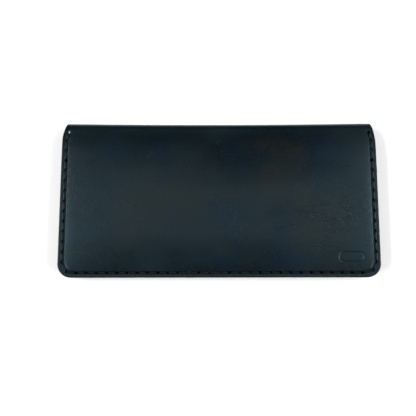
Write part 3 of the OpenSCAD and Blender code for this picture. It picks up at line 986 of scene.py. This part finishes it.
class WALLET_OT_cover(bpy.types.Operator):
    """Outer leather: two halves that meet on the line of the fold"""
    bl_idname = "wallet.cover"
    bl_label = "Outer cover"

    BELLY = 1.25     # how far the front bulges over the pockets
    HOLLOW = 1.0     # how far it sinks in before the fold
    FUNNEL = 0.20    # leather pulled down round each hole: depth and reach
    FUNNEL_REACH = 1.15
    PULL = 0.12      # leather drawn down along the seam: depth and reach
    PULL_REACH = 3.2
    DOME = 0.65      # how far the domed edge runs in
    FUNNEL_INSIDE = 0.12           # how far the inner face is pushed out round each hole
    FOLLOW = 0.7                   # share of the bulge that the inner face follows
    FOLLOW_LEAST = -0.4
    MARK = (17.0, 12.0)            # the stamped ring, in from the right edge and up from the open one
    GROOVE_WALL = (0.62, 1.08)     # where the groove's wall starts and ends, in half widths
    STAMP_WALL = (0.18, 0.5)
    STAMP_TONE = (0.2, 0.45)
    HOLE_SHADE_REACH = (1.1, 1.45)         # painted shade round each awl hole fades out between these reaches

    def execute(self, context):
        pattern = Pattern(context.scene)
        seam = pattern.seam()
        holes = holes_of(pattern, seam)
        loop = outline(pattern, level_top(pattern, pattern.s_apex))
        mark = np.array([pattern.half_w - self.MARK[0], self.MARK[1]])

        def pressed(p):
            across = distance_to_line(p, seam)
            half = pattern.groove_w / 2
            wall = [share * half for share in self.GROOVE_WALL]
            groove = 1 - smooth(*wall, across)
            funnel = np.exp(-(distance_to_points(p, seam) / self.FUNNEL_REACH) ** 2)
            pull = np.exp(-(across / self.PULL_REACH) ** 2)
            return groove, funnel, pull

        def belly(p):
            x, s = p[:, 0], p[:, 1]
            inner = np.clip(1 - (x / (pattern.half_w - 4)) ** 2, 0, 1) * smooth(2, 26, s)
            level = smooth(pattern.s_fold + 3, pattern.s_ease - 10, s)
            waves = hand_waves(x, s) * smooth(0, 12, pattern.half_w - np.abs(x)) * level
            hollow = np.clip(1 - (x / (pattern.half_w - 2)) ** 2, 0, 1)
            hollow = hollow * smooth(pattern.s_ease - 20, pattern.s_ease + 4, s)
            hollow = hollow * smooth(pattern.s_apex, pattern.s_fold - 4, s)
            return self.BELLY * inner ** 0.8 * level + waves - self.HOLLOW * hollow

        def outer_for(front):
            def outer(p):
                groove, funnel, pull = pressed(p)
                depth = pattern.groove_d * groove + self.FUNNEL * funnel + self.PULL * pull
                if front:
                    depth -= belly(p)
                    depth += STAMP_DEPTH * (1 - smooth(*self.STAMP_WALL, stamp_distance(p, mark)))
                return depth
            return outer

        def inner_for(front):
            def inner(p):
                funnel = pressed(p)[1]
                lift = belly(p) if front else 0
                lift = self.FOLLOW * np.clip(lift, self.FOLLOW_LEAST, None)
                return pattern.cover_t - self.FUNNEL_INSIDE * funnel - lift
            return inner

        kit = leather_set("cover")
        for front, name, nodes in (
                (False, "cover_back_leather", ("back_cover", "cover_fold")),
                (True, "cover_front_leather", ("front_cover",))):
            extra = cover_points(pattern, loop, mark if front else None)
            obj = leather_sheet(
                name, pattern, loop, extra, holes, outer_for(front), inner_for(front), front,
                round_in=self.DOME, apex=pattern.s_apex)
            verts = np.array([v.vector for v in obj.data.attributes["sheet"].data]) / MM
            flat = np.column_stack([verts[:, 0], pattern.along(verts[:, 1], front)])
            groove = pressed(flat)[0]
            if front:
                ring = 1 - smooth(*self.STAMP_TONE, stamp_distance(flat, mark))
                groove = np.maximum(groove, ring)
                add_value(obj.data, "tan", patches(flat, TAN_PATCHES))
                add_value(obj.data, "ink", patches(flat, INK_PATCHES))
            add_value(obj.data, "pressed", groove)
            # awl: where the painted shade darkens the leather round each hole
            add_value(obj.data, "awl", 1 - smooth(*self.HOLE_SHADE_REACH, distance_to_points(flat, seam)))
            for material in kit:
                obj.data.materials.append(material)
            if front:
                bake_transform(obj)
            else:
                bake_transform(obj)
            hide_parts(*nodes)
        return {"FINISHED"}


SIDE_RAMP = (5.0, 9.0)      # an inner layer rises off the seam between these distances from the
BOTTOM_RAMP = (5.5, 9.5)    # side and from the open edge
CREASE_PLACE = 2.0          # of the heated line, from the mouth
CREASE_WALL = (0.12, 0.5)
INNER_DOME = 0.28           # how far the domed edge of an inner piece runs in
HOLE_SPACE = 1.1            # no other point of an inner piece lies this near a hole's centre
HOLE_RING = 1.7             # size of the ring of points round a hole, in hole sizes


def inner_ramps(pattern, p):
    """How far the middle of an inner layer has risen off the seam: from the sides, from the bottom."""
    x, s = np.abs(p[:, 0]), p[:, 1]
    return smooth(*SIDE_RAMP, pattern.edge_x(s) - x), smooth(*BOTTOM_RAMP, s)


def crease(distance, depth=0.13):
    """Heated crease line beside a mouth."""
    return depth * (1 - smooth(*CREASE_WALL, np.abs(distance - CREASE_PLACE)))


def inner_piece(name, node, body, pattern, loop, holes, outer, thick, mouth, front, shift,
                step=2.4):
    """Panel or pocket: outer gives the depth of its hidden face, mouth the line it opens along."""
    low, high = loop.min(axis=0), loop.max(axis=0)
    extra = np.vstack(rings(loop, INNER_RINGS, 3) + [
        grid(low[0] + 3, high[0] - 3, low[1] + 3, high[1] - 3, step, step)])
    for hole in holes:
        extra = extra[np.linalg.norm(extra - hole.mean(axis=0), axis=1) > HOLE_SPACE]
    extra = np.vstack([extra] + [h.mean(axis=0) + (h - h.mean(axis=0)) * HOLE_RING for h in holes])

    def inner(p):
        return outer(p) + thick - crease(distance_to_line(p, mouth))

    obj = leather_sheet(
        name, pattern, loop, extra, holes, outer, inner, front, round_in=INNER_DOME, shift=shift)
    for material in leather_set("inner"):
        obj.data.materials.append(material)
    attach(obj, body)
    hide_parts(node)


def holes_of(pattern, seam, loop=None):
    """Awl holes along a seam. With loop, only those that lie inside it."""
    directions = seam_directions(seam)
    made = [awl_hole(pattern, c, d) for c, d in zip(seam, directions)]
    if loop is None:
        return made
    clear = loop + loop_normals(loop) * 0.5
    return [h for h in made if inside(h, clear).all()]


def straight_seam(pattern, x, low, high):
    """Seam up the wallet at x, from the height low to below the height high."""
    y = np.arange(low, high + 1e-6, pattern.stitch)
    return np.array([(x, pattern.s_of(v)) for v in y])


TIERS = ("1", "2", "3", "front")


class Pockets:
    """Mouth heights and levels of the pockets. Levels are depths from a half's outer face."""

    GAP = 0.15          # room between two layers of pockets
    FLANGE = 5.0        # flat border beside the column seam
    STEM_DROP = 47.0    # from a T-pocket's mouth to its foot
    ARM = 9.0           # height of a T-pocket's arms
    FLOOR_HOLES = 13
    FLOOR_SEAM = 2.0    # floor seam above a T-pocket's foot
    COLUMN_SEAM = 2.5   # column seam, in from the pockets' inner edge
    SEAM_START = 10.0   # first hole of the inner seams above the open edge
    SEAM_END = 1.0      # their last one below a mouth

    def __init__(self, pattern):
        gap = self.GAP
        self.seat = pattern.cover_t + pattern.panel_t
        self.shelf = self.seat + pattern.bill_gap
        self.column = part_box("card_pocket_right_1")[0][0] / MM
        self.flange = self.column + self.FLANGE
        step = pattern.pocket_t + gap
        self.tiers = [self.shelf + gap + k * step for k in range(len(TIERS))]
        self.mouths = [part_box("card_pocket_right_" + tier)[1][1] / MM for tier in TIERS]
        self.tall, self.low = self.shelf + 2 * gap, self.shelf + 2 * gap + step
        self.tall_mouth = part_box("tall_slip_pocket")[1][1] / MM
        self.low_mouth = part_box("low_slip_pocket")[1][1] / MM
        low_end = -pattern.half_h + self.SEAM_START
        self.column_seam = straight_seam(
            pattern, self.column + self.COLUMN_SEAM, low_end, self.mouths[0] - self.SEAM_END)
        self.divider = straight_seam(pattern, 0.0, low_end, self.low_mouth - self.SEAM_END)
        middle = pattern.half_w / 2
        across = [middle + (i - self.FLOOR_HOLES // 2) * pattern.stitch for i in range(self.FLOOR_HOLES)]
        self.floors = []
        for mouth in self.mouths[:-1]:
            s = pattern.s_of(mouth - self.STEM_DROP + self.FLOOR_SEAM)
            self.floors.append(np.array([(x, s) for x in across]))


class WALLET_OT_bill_panels(bpy.types.Operator):
    """The two panels that carry the pockets and make the bill compartments"""
    bl_idname = "wallet.bill_panels"
    bl_label = "Bill panels"

    def execute(self, context):
        pattern = Pattern(context.scene)
        pockets = Pockets(pattern)
        top = level_top(pattern, pattern.s_panel, 1.2)
        loop = outline(pattern, top)

        def outer(p):
            side, bottom = inner_ramps(pattern, p)
            return pattern.cover_t + SKIN + pattern.bill_gap * side * bottom

        flip = np.array([-1, 1])
        inner_seams = [pockets.column_seam, pockets.column_seam * flip]
        for line in pockets.floors:
            inner_seams += [line, line * flip]
        for front, node, body in ((False, "back_bill_panel", "back_half"),
                                  (True, "front_bill_panel", "front_half")):
            holes = holes_of(pattern, pattern.seam(), loop)
            if not front:
                for seam in inner_seams:
                    holes += holes_of(pattern, seam)
            inner_piece(node + "_leather", node, body, pattern, loop, holes, outer,
                        pattern.panel_t - 2 * SKIN, top, front,
                        (0, 0.31 if front else 0.17, 0))
        return {"FINISHED"}


class WALLET_OT_card_pockets(bpy.types.Operator):
    """Two columns of four card pockets: three T-shaped ones behind a front one"""
    bl_idname = "wallet.card_pockets"
    bl_label = "Card pockets"

    STEM_MARGINS = (3.5, 10.5)    # from the flange and from the side edge to a T-pocket's stem
    FOOT_RAMP = (3.6, 7.0)        # the stem rises off its floor seam between these heights
    CORNER = 0.8                  # rounding of the mouth's corners
    FOOT_CORNER = 2.0             # of the stem's foot, and where the stem meets the arms
    ARM_CORNER = 1.6
    MOUTH_BOW = 0.05              # how far the middle of a mouth stands open
    MOUTH_REACH = 14.0            # how far down from the mouth that bow fades out
    PATTERN_STEP = 2.2            # between the points in a pocket's middle

    def execute(self, context):
        pattern = Pattern(context.scene)
        pockets = Pockets(pattern)
        for side, side_name in ((1, "right"), (-1, "left")):
            for k in range(len(TIERS)):
                self.pocket(pattern, pockets, side, side_name, k)
        return {"FINISHED"}

    def pocket(self, pattern, pockets, side, side_name, k):
        top = pattern.s_of(pockets.mouths[k])
        level = pockets.tiers[k]
        right_edge = pattern.edge_x(top)
        stem = (pockets.flange + self.STEM_MARGINS[0], pattern.half_w - self.STEM_MARGINS[1])
        last = TIERS[k] == "front"
        if last:
            loop = outline(pattern, level_top(pattern, top, 0.8))
            keep = loop[:, 0] > pockets.column + 0.9
            start = np.argmax(keep & ~np.roll(keep, 1))
            loop = np.roll(loop, -start, axis=0)[:keep.sum()]
            closing = rounded([loop[-1], (pockets.column, top), (pockets.column, 0), loop[0]],
                              [0, self.CORNER, self.CORNER, 0])
            first = np.argmin(np.linalg.norm(closing - loop[-1], axis=1))
            closing = np.roll(closing, -first, axis=0)
            stop = np.argmin(np.linalg.norm(closing - loop[0], axis=1))
            loop = np.vstack([loop, closing[1:stop]])
        else:
            low = pattern.s_of(pockets.mouths[k] - pockets.ARM)
            foot = pattern.s_of(pockets.mouths[k] - pockets.STEM_DROP)
            corners = [(stem[0], foot), (stem[1], foot), (stem[1], low), (pattern.edge_x(low), low),
                       (right_edge, top), (pockets.column, top), (pockets.column, low), (stem[0], low)]
            loop = rounded(corners, [self.FOOT_CORNER] * 2 + [self.ARM_CORNER]
                           + [self.CORNER] * 4 + [self.ARM_CORNER])
            foot_rise = [foot + height for height in self.FOOT_RAMP]

        def outer(p):
            q = np.abs(p)
            sides, bottom = inner_ramps(pattern, q)
            column = smooth(pockets.flange - 0.5, pockets.flange + 3.5, q[:, 0])
            body = column * (bottom if last else smooth(*foot_rise, p[:, 1]))
            bow = self.MOUTH_BOW * np.sin((q[:, 0] - pockets.flange) / 80 * math.pi).clip(0)
            bow = bow * smooth(top - self.MOUTH_REACH, top, p[:, 1])
            lift = pockets.shelf - pockets.seat + (level - pockets.shelf + bow) * body
            return pockets.seat + SKIN / 2 + sides * (bottom if last else 1.0) * lift

        flip = np.array([side, 1])
        seams = [pattern.seam(), pockets.column_seam * flip]
        if not last:
            seams.append(pockets.floors[k] * flip)
        if side < 0:
            loop = (loop * flip)[::-1]
        holes = [h for seam in seams for h in holes_of(pattern, seam, loop)]
        mouth = np.array([(side * (pockets.column - 4), top), (side * (right_edge + 4), top)])
        node = f"card_pocket_{side_name}_{TIERS[k]}"
        inner_piece(node + "_leather", node, "back_half", pattern, loop, holes, outer,
                    pattern.pocket_t - SKIN, mouth, False,
                    (0.13 * k, 0.4 + 0.11 * side, 0.05 * k), self.PATTERN_STEP)


class WALLET_OT_slip_pockets(bpy.types.Operator):
    """Two full-width slip pockets, the low one with thumb cut-outs"""
    bl_idname = "wallet.slip_pockets"
    bl_label = "Slip pockets"

    THUMB_RADIUS = 17.0    # the thumb cut-outs: radius, how far their middle is above the mouth,
    THUMB_RISE = 11.0      # and how softly they run out into it
    THUMB_SOFT = 0.7

    def execute(self, context):
        pattern = Pattern(context.scene)
        pockets = Pockets(pattern)
        tall_top = level_top(pattern, pattern.s_of(pockets.tall_mouth), 0.8)
        low_top = self.notched(pattern, pockets)
        for node, top, seat, level, shift in (
                ("tall_slip_pocket", tall_top, pockets.seat, pockets.tall, 0.53),
                ("low_slip_pocket", low_top, pockets.seat + pattern.pocket_t, pockets.low, 0.71)):
            loop = outline(pattern, top)
            holes = holes_of(pattern, pattern.seam(), loop) + holes_of(pattern, pockets.divider, loop)

            def outer(p, seat=seat, level=level):
                side, bottom = inner_ramps(pattern, p)
                tuck = 0.06 * np.exp(-(p[:, 0] / 4.0) ** 2)
                return seat + SKIN / 2 + side * bottom * (level - seat - tuck)

            inner_piece(node + "_leather", node, "front_half", pattern, loop, holes, outer,
                        pattern.pocket_t - SKIN, top, True, (0, shift, 0))
        return {"FINISHED"}

    def notched(self, pattern, pockets):
        """Mouth of the low pocket, with a shallow thumb cut-out over each half."""
        s = pattern.s_of(pockets.low_mouth)
        ends = pattern.edge_x(s)
        x = np.linspace(ends, -ends, int(2 * ends / RIM_STEP) + 1)
        off = np.abs(np.abs(x) - pattern.half_w / 2)
        circle = s + self.THUMB_RISE - np.sqrt(np.clip(self.THUMB_RADIUS ** 2 - off ** 2, 0, None))
        soft = self.THUMB_SOFT
        line = s - soft * np.log1p(np.exp(np.clip((s - circle) / soft, -40, 40)))
        line[0] = line[-1] = s
        return np.stack([x, line], axis=1)


# Stitching -----------------------------------------------------------------------------------


def stitch_tree():
    """Saddle stitches: one twisted thread on every edge of a line of holes, both ends diving in."""
    tree = bpy.data.node_groups.new("Saddle stitches", "GeometryNodeTree")
    sockets = {}
    for label, kind, default in (
            ("Holes", "NodeSocketGeometry", None), ("Stitch Length", FLOAT, 0.006),
            ("Thread Width", FLOAT, 0.0011), ("Thread Height", FLOAT, 0.00055),
            ("Strands", "NodeSocketInt", 3), ("Twist", FLOAT, 1.5), ("Dive", FLOAT, 0.0015),
            ("Hole Reach", FLOAT, 0.0006), ("Slant", FLOAT, 0.08), ("Seed", "NodeSocketInt", 1),
            ("Thread", "NodeSocketMaterial", None)):
        socket = tree.interface.new_socket(label, in_out="INPUT", socket_type=kind)
        if default is not None:
            socket.default_value = default
        sockets[label] = socket.identifier
    tree.interface.new_socket("Stitches", in_out="OUTPUT", socket_type="NodeSocketGeometry")
    n = Nodes(tree)
    given, out = n.add("NodeGroupInput"), n.add("NodeGroupOutput")
    g = given.outputs

    # One straight rope along X, its rings closer together at the ends
    count, crowding = 9, 2.2
    line = n.add("GeometryNodeCurvePrimitiveLine", {"Start": (-0.5, 0, 0), "End": (0.5, 0, 0)})
    line = n.add("GeometryNodeResampleCurve", {"Curve": line.outputs[0], "Count": count}, mode="COUNT")
    index = n.add("GeometryNodeInputIndex").outputs[0]
    t = n.math("SUBTRACT", n.math("MULTIPLY", index, 2.0 / (count - 1)), 1.0)
    ends = n.math("POWER", n.math("SUBTRACT", 1.0, n.math("ABSOLUTE", t)), crowding)
    spread = n.math("MULTIPLY", n.math("SIGN", t), n.math("SUBTRACT", 1.0, ends))
    reach = n.math("SUBTRACT", n.math("MULTIPLY", g["Stitch Length"], 0.5), g["Hole Reach"])
    x = n.math("MULTIPLY", spread, reach)
    spot = n.add("ShaderNodeCombineXYZ", {0: x}).outputs[0]
    line = n.add("GeometryNodeSetPosition", {"Geometry": line.outputs[0], "Position": spot})
    turn = n.math("MULTIPLY", n.math("MULTIPLY", spread, math.pi), g["Twist"])
    line = n.add("GeometryNodeSetCurveTilt", {"Curve": line.outputs[0], "Tilt": turn})
    lobes = n.math("MULTIPLY", g["Strands"], 3.0)
    ring = n.add("GeometryNodeCurvePrimitiveCircle", {"Resolution": lobes, "Radius": 0.5})
    valley = n.math("LESS_THAN", n.math("MODULO", index, 3.0), 0.5)
    lobe = n.math("SUBTRACT", 1.0, n.math("MULTIPLY", valley, 0.24))
    place = n.add("GeometryNodeInputPosition").outputs[0]
    lobed = n.scaled(place, lobe)
    ring = n.add("GeometryNodeSetPosition", {"Geometry": ring.outputs[0], "Position": lobed})
    rope = n.add("GeometryNodeCurveToMesh", {
        "Curve": line.outputs[0], "Profile Curve": ring.outputs[0], "Fill Caps": True})

    # Pressed flat, laid on the slant and sunk into the holes
    px, py, pz = n.parts(place)
    near_end = n.math("DIVIDE", n.math("ABSOLUTE", px), reach)
    back = n.math("SUBTRACT", 1.0, n.math("MINIMUM", near_end, 1.0))
    a = n.math("SUBTRACT", 1.0, n.math("POWER", back, 1 / crowding))
    drop = n.math("MULTIPLY", n.math("POWER", a, 3.6), g["Dive"])
    thin = n.math("SUBTRACT", 1.0, n.math("MULTIPLY", n.math("POWER", a, 4.0), 0.3))
    flat_y = n.math("MULTIPLY", n.math("MULTIPLY", py, g["Thread Width"]), thin)
    flat_z = n.math("MULTIPLY", n.math("MULTIPLY", pz, g["Thread Height"]), thin)
    new_y = n.math("ADD", flat_y, n.math("MULTIPLY", px, g["Slant"]))
    new_z = n.math("SUBTRACT", flat_z, drop)
    bent = n.add("ShaderNodeCombineXYZ", {0: px, 1: new_y, 2: new_z}).outputs[0]
    rope = n.add("GeometryNodeSetPosition", {"Geometry": rope.outputs[0], "Position": bent})

    # Laid on every edge of the line of holes
    ends_of = n.add("GeometryNodeInputMeshEdgeVertices")
    run = n.vector("SUBTRACT", ends_of.outputs["Position 2"], ends_of.outputs["Position 1"])
    up = n.add("GeometryNodeInputNamedAttribute", {"Name": "up"}, data_type="FLOAT_VECTOR").outputs[0]
    kept = n.add("GeometryNodeCaptureAttribute", {"Geometry": g["Holes"]}, domain="EDGE")
    kept.capture_items.new("VECTOR", "Run")
    kept.capture_items.new("VECTOR", "Up")
    n.fill(kept.inputs["Run"], run)
    n.fill(kept.inputs["Up"], up)
    spots = n.add("GeometryNodeMeshToPoints", {"Mesh": kept.outputs[0]}, mode="EDGES")
    facing = n.add("FunctionNodeAxesToRotation", primary_axis="Z", secondary_axis="X")
    n.fill(facing.inputs[0], kept.outputs["Up"])
    n.fill(facing.inputs[1], kept.outputs["Run"])
    lean = Vector((0.10, 0.012, 0.035))
    wobble = n.add("FunctionNodeRandomValue", {0: -lean, 1: lean, "Seed": g["Seed"]},
                   data_type="FLOAT_VECTOR")
    turned = n.add("FunctionNodeRotateRotation", {0: facing.outputs[0]}, rotation_space="LOCAL")
    n.fill(turned.inputs[1], wobble.outputs[0])
    stretch = n.math("DIVIDE", n.vector("LENGTH", kept.outputs["Run"]), g["Stitch Length"])
    scale = n.add("ShaderNodeCombineXYZ", {0: stretch, 1: 1.0, 2: 1.0}).outputs[0]
    laid = n.add("GeometryNodeInstanceOnPoints", {
        "Points": spots.outputs[0], "Instance": rope.outputs[0],
        "Rotation": turned.outputs[0], "Scale": scale})
    real = n.add("GeometryNodeRealizeInstances", {0: laid.outputs[0]})
    dyed = n.add("GeometryNodeSetMaterial", {"Geometry": real.outputs[0], "Material": g["Thread"]})
    n.fill(out.inputs[0], dyed.outputs[0])
    return tree, sockets


def sew(name, node, body, pattern, lines, dive, seed, flat=1.0):
    """Stitches along lines of holes. Each line is (points, outward directions), in mm."""
    tree, sockets = shared("stitch tree", stitch_tree)
    sewing = bpy.context.scene.wallet_stitching
    mesh = bpy.data.meshes.new(name + "_holes")
    points, ups, edges = [], [], []
    for places, outward in lines:
        first = len(points)
        points += [tuple(p) for p in places * MM]
        ups += list(outward)
        edges += [(first + i, first + i + 1) for i in range(len(places) - 1)]
    mesh.from_pydata(points, edges, [])
    add_vector(mesh, "up", np.array(ups))
    holder = linked(name + "_holes", mesh)
    modifier = holder.modifiers.new("Stitches", "NODES")
    modifier.node_group = tree
    values = {
        "Stitch Length": pattern.stitch * MM, "Thread Width": pattern.thread_w * MM,
        "Thread Height": pattern.thread_h * MM * flat, "Strands": sewing.strands,
        "Twist": sewing.twist, "Dive": dive * MM, "Hole Reach": 0.45 * pattern.hole_l * MM,
        "Slant": 0.06, "Seed": seed,
        "Thread": shared("thread", thread_material, "waxed_thread", sewing.thread, 0.5)}
    for label, value in values.items():
        modifier[sockets[label]] = value
    graph = bpy.context.evaluated_depsgraph_get()
    made = bpy.data.meshes.new_from_object(holder.evaluated_get(graph), depsgraph=graph)
    bpy.data.objects.remove(holder)
    made.name = name
    obj = linked(name, made)
    face_up(made)
    made.shade_smooth()
    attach(obj, body)
    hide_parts(node)


def seam_line(pattern, seam, depth, front, outward=True):
    """Places of a seam's holes at the given depths, and which way its stitches face."""
    places = pattern.place(seam[:, 0], seam[:, 1], depth, front)
    level = pattern.place(seam[:, 0], seam[:, 1], 0.0, front)
    deeper = pattern.place(seam[:, 0], seam[:, 1], 1.0, front)
    up = level - deeper if outward else deeper - level
    return places, up / np.linalg.norm(up, axis=1, keepdims=True)


def stack_runs(pattern, seam, mouths, seat):
    """Splits a seam's inner side where a pocket's mouth changes the height it is sewn on."""
    y = pattern.y_of(seam[:, 1])
    runs = []
    for i in range(len(seam) - 1):
        lowest = min(y[i], y[i + 1])
        height = seat + pattern.pocket_t * sum(lowest < m + 0.6 for m in mouths)
        if runs and runs[-1][1] == height:
            runs[-1][0].append(i + 1)
        else:
            runs.append(([i, i + 1], height))
    return [(seam[ids], height) for ids, height in runs]


class WALLET_OT_edge_seams(bpy.types.Operator):
    """Saddle-stitched seam round three sides of each half, with its finished end"""
    bl_idname = "wallet.edge_seams"
    bl_label = "Edge seams"

    SINK = 0.15     # how far the thread's underside is pressed in below the groove's floor
    DIVE = 2.0      # how far a stitch's ends go down into their holes
    # The two short backstitches at the left end: (x, s) moves of both ends, and how much higher
    BACKSTITCHES = (([[0.30, -0.5], [0.42, 0.3]], 0.30), ([[-0.1, -2.6], [0.25, 0.2]], 0.22))
    END_PLACE = (0.25, 0.35)    # where the thread's melted end lies beside the last hole

    def execute(self, context):
        pattern = Pattern(context.scene)
        pockets = Pockets(pattern)
        seam = pattern.seam()
        sunk = pattern.groove_d + self.SINK - pattern.thread_h / 2
        for front, node, body, mouths in (
                (False, "back_seam_thread", "back_half", pockets.mouths[:1]),
                (True, "front_seam_thread", "front_half", [pockets.tall_mouth, pockets.low_mouth])):
            lines = [seam_line(pattern, seam, sunk, front)]
            for part, height in stack_runs(pattern, seam, mouths, pockets.seat):
                lines.append(seam_line(pattern, part, height + pattern.thread_h / 2, front, False))
            if front:
                for moves, rise in self.BACKSTITCHES:
                    lines.append(seam_line(pattern, seam[:2] + np.array(moves), sunk - rise, True))
            sew("front_seam_stitches" if front else "back_seam_stitches", node, body, pattern,
                lines, self.DIVE, 4 if front else 9)
        self.melted_end(context, pattern, seam[0] + np.array(self.END_PLACE), sunk - 0.1)
        return {"FINISHED"}

    def melted_end(self, context, pattern, spot, depth):
        """Small lumpy drop where the thread's tip was melted down on the last hole; its pale colour paints
        a glint on it.
        """
        centre, up = seam_line(pattern, np.array([spot]), depth, True)
        shape = bmesh.new()
        bmesh.ops.create_icosphere(shape, subdivisions=3, radius=1.0)
        up, along = Vector(up[0]), Vector((0.2, 1.0, 0.0)).normalized()
        across = up.cross(along).normalized()
        for vert in shape.verts:
            a, b, c = vert.co
            lump = 1 + 0.16 * math.sin(4.1 * a + 1.0) * math.cos(3.3 * b)
            lump += 0.10 * math.sin(5.7 * c + 2 * a)
            tail = 0.45 * max(0.0, -a) ** 2
            offset = along * (0.62 * a * lump - tail) + across * 0.42 * b * lump + up * 0.34 * c * lump
            vert.co = Vector(centre[0]) * MM + offset * MM
        mesh = bpy.data.meshes.new("melted_thread_end")
        shape.to_mesh(mesh)
        shape.free()
        face_up(mesh)
        mesh.shade_smooth()
        glint_bead = linked("melted_thread_end", mesh)
        # pale, glossy melted end: its colour paints a glint
        mesh.materials.append(thread_material("melted_wax_painted_glint", context.scene.wallet_stitching.glint_bead, 0.3))
        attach(glint_bead, "front_half")


class WALLET_OT_inner_seams(bpy.types.Operator):
    """Seams of the card columns, the pocket floors and the slip pocket divider"""
    bl_idname = "wallet.inner_seams"
    bl_label = "Inner seams"

    def execute(self, context):
        pattern = Pattern(context.scene)
        pockets = Pockets(pattern)
        half = pattern.thread_h / 2
        top = pockets.shelf + pattern.pocket_t
        under = pockets.shelf - pattern.panel_t
        for side, mirror in (("right", np.array([1, 1])), ("left", np.array([-1, 1]))):
            column = pockets.column_seam * mirror
            sew(f"{side}_column_stitches", f"{side}_column_thread", "back_half", pattern, [
                seam_line(pattern, column, top + half, False, False),
                seam_line(pattern, column, under - 0.05, False)], 0.9, 21)
            floors = []
            for line in pockets.floors:
                floors.append(seam_line(pattern, line * mirror, top + 0.08, False, False))
                floors.append(seam_line(pattern, line * mirror, under - 0.02, False))
            sew(f"{side}_pocket_floor_stitches", f"{side}_pocket_floor_thread", "back_half", pattern,
                floors, 0.8, 33, 0.35)
        sew("slip_divider_stitches", "slip_divider_thread", "front_half", pattern, [
            seam_line(pattern, pockets.divider, pockets.low + pattern.pocket_t + half - 0.05, True, False),
            seam_line(pattern, pockets.divider, pockets.tall - 0.1, True)], 0.9, 41)
        return {"FINISHED"}


class WALLET_OT_stage(bpy.types.Operator):
    """Pale floor, soft lights and the camera"""
    bl_idname = "wallet.stage"
    bl_label = "Floor, lights and camera"

    FLOOR_REACH = 3.0      # metres from the middle to each side
    GLOW = (0.35, 1.3)     # the floor brightens from this distance to that one
    AIM = (-6.50, -5.15)   # x and y of the point on the cover that the camera aims at, in mm
    SENSOR = 36.0
    SOFTBOX = (1.05, 0.30)    # metres
    STRIP = (1.4, 0.14)

    def execute(self, context):
        scene = context.scene
        stage = scene.wallet_stage
        mesh = bpy.data.meshes.new("floor")
        reach = self.FLOOR_REACH
        corners = [(-reach, -reach, 0), (reach, -reach, 0), (reach, reach, 0), (-reach, reach, 0)]
        mesh.from_pydata(corners, [], [(0, 1, 2, 3)])
        floor = linked("floor", mesh)
        material, n, shader = new_material("pale_floor")
        shader.inputs["Base Color"].default_value = rgba(stage.floor)
        shader.inputs["Roughness"].default_value = 0.9
        shader.inputs["Specular IOR Level"].default_value = 0.1
        place = n.add("ShaderNodeTexCoord").outputs["Object"]
        glow = n.span(n.vector("LENGTH", place), *self.GLOW)
        n.fill(shader.inputs["Emission Color"], n.mix(glow, BLACK, WHITE))
        shader.inputs["Emission Strength"].default_value = 1.0
        mesh.materials.append(material)

        for name, place, size, power in (
                ("left_softbox", (-0.82, 0.02, 0.95), self.SOFTBOX, stage.side_light),
                ("right_softbox", (0.82, 0.02, 0.95), self.SOFTBOX, 0.9 * stage.side_light),
                ("top_strip", (0.0, 0.05, 1.1), self.STRIP, stage.top_light)):
            light = bpy.data.lights.new(name, "AREA")
            light.shape = "RECTANGLE"
            light.size, light.size_y = size
            light.energy = power
            lamp = linked(name, light)
            lamp.location = place
            lamp.rotation_euler = (-Vector(place)).to_track_quat("-Z", "Y").to_euler()

        world = bpy.data.worlds.new("pale_surround")
        world.use_nodes = True
        w = Nodes(world.node_tree)
        seen = w.add("ShaderNodeLightPath").outputs["Is Camera Ray"]
        lift = w.math("ADD", w.math("MULTIPLY", seen, stage.backdrop - stage.sky), stage.sky)
        backdrop = world.node_tree.nodes["Background"]
        w.fill(backdrop.inputs["Strength"], lift)
        w.fill(backdrop.inputs["Color"], WHITE)
        scene.world = world
        scene.view_settings.view_transform = "Standard"

        aim = Vector((self.AIM[0] * MM, self.AIM[1] * MM, scene.wallet_shape.thickness))
        lean = stage.camera_tilt
        camera_data = bpy.data.cameras.new("camera")
        camera_data.sensor_width = self.SENSOR
        camera_data.lens = stage.lens
        camera_data.clip_start = 0.01
        camera = linked("camera", camera_data)
        turn = Matrix.Rotation(lean, 4, "X") @ Matrix.Rotation(-stage.camera_roll, 4, "Z")
        place = aim + stage.camera_distance * Vector((0, -math.sin(lean), math.cos(lean)))
        camera.matrix_world = Matrix.Translation(place) @ turn
        scene.camera = camera
        return {"FINISHED"}


class WALLET_PT_panel(bpy.types.Panel):
    """Sizes, colours and build buttons"""
    bl_label = "Long wallet"
    bl_idname = "WALLET_PT_panel"
    bl_space_type = "VIEW_3D"
    bl_region_type = "UI"
    bl_category = "Wallet"

    def draw(self, context):
        for group_name in ("wallet_shape", "wallet_leather", "wallet_stitching", "wallet_stage"):
            settings = getattr(context.scene, group_name)
            box = self.layout.box()
            for key in settings.__annotations__:
                box.prop(settings, key)
        for operator in OPERATORS:
            self.layout.operator(operator.bl_idname)


SETTINGS = (
    ("wallet_shape", WalletShape), ("wallet_leather", WalletLeather),
    ("wallet_stitching", WalletStitching), ("wallet_stage", WalletStage))
OPERATORS = (
    WALLET_OT_cover, WALLET_OT_bill_panels, WALLET_OT_card_pockets, WALLET_OT_slip_pockets,
    WALLET_OT_edge_seams, WALLET_OT_inner_seams, WALLET_OT_stage)


def register():
    for name, group_class in SETTINGS:
        bpy.utils.register_class(group_class)
        setattr(bpy.types.Scene, name, PointerProperty(type=group_class))
    for operator in OPERATORS:
        bpy.utils.register_class(operator)
    bpy.utils.register_class(WALLET_PT_panel)


def unregister():
    bpy.utils.unregister_class(WALLET_PT_panel)
    for operator in reversed(OPERATORS):
        bpy.utils.unregister_class(operator)
    for name, group_class in reversed(SETTINGS):
        delattr(bpy.types.Scene, name)
        bpy.utils.unregister_class(group_class)


def main():
    register()
    for operator in OPERATORS:
        family, name = operator.bl_idname.split(".")
        getattr(getattr(bpy.ops, family), name)()
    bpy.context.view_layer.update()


if __name__ == "__main__":
    main()
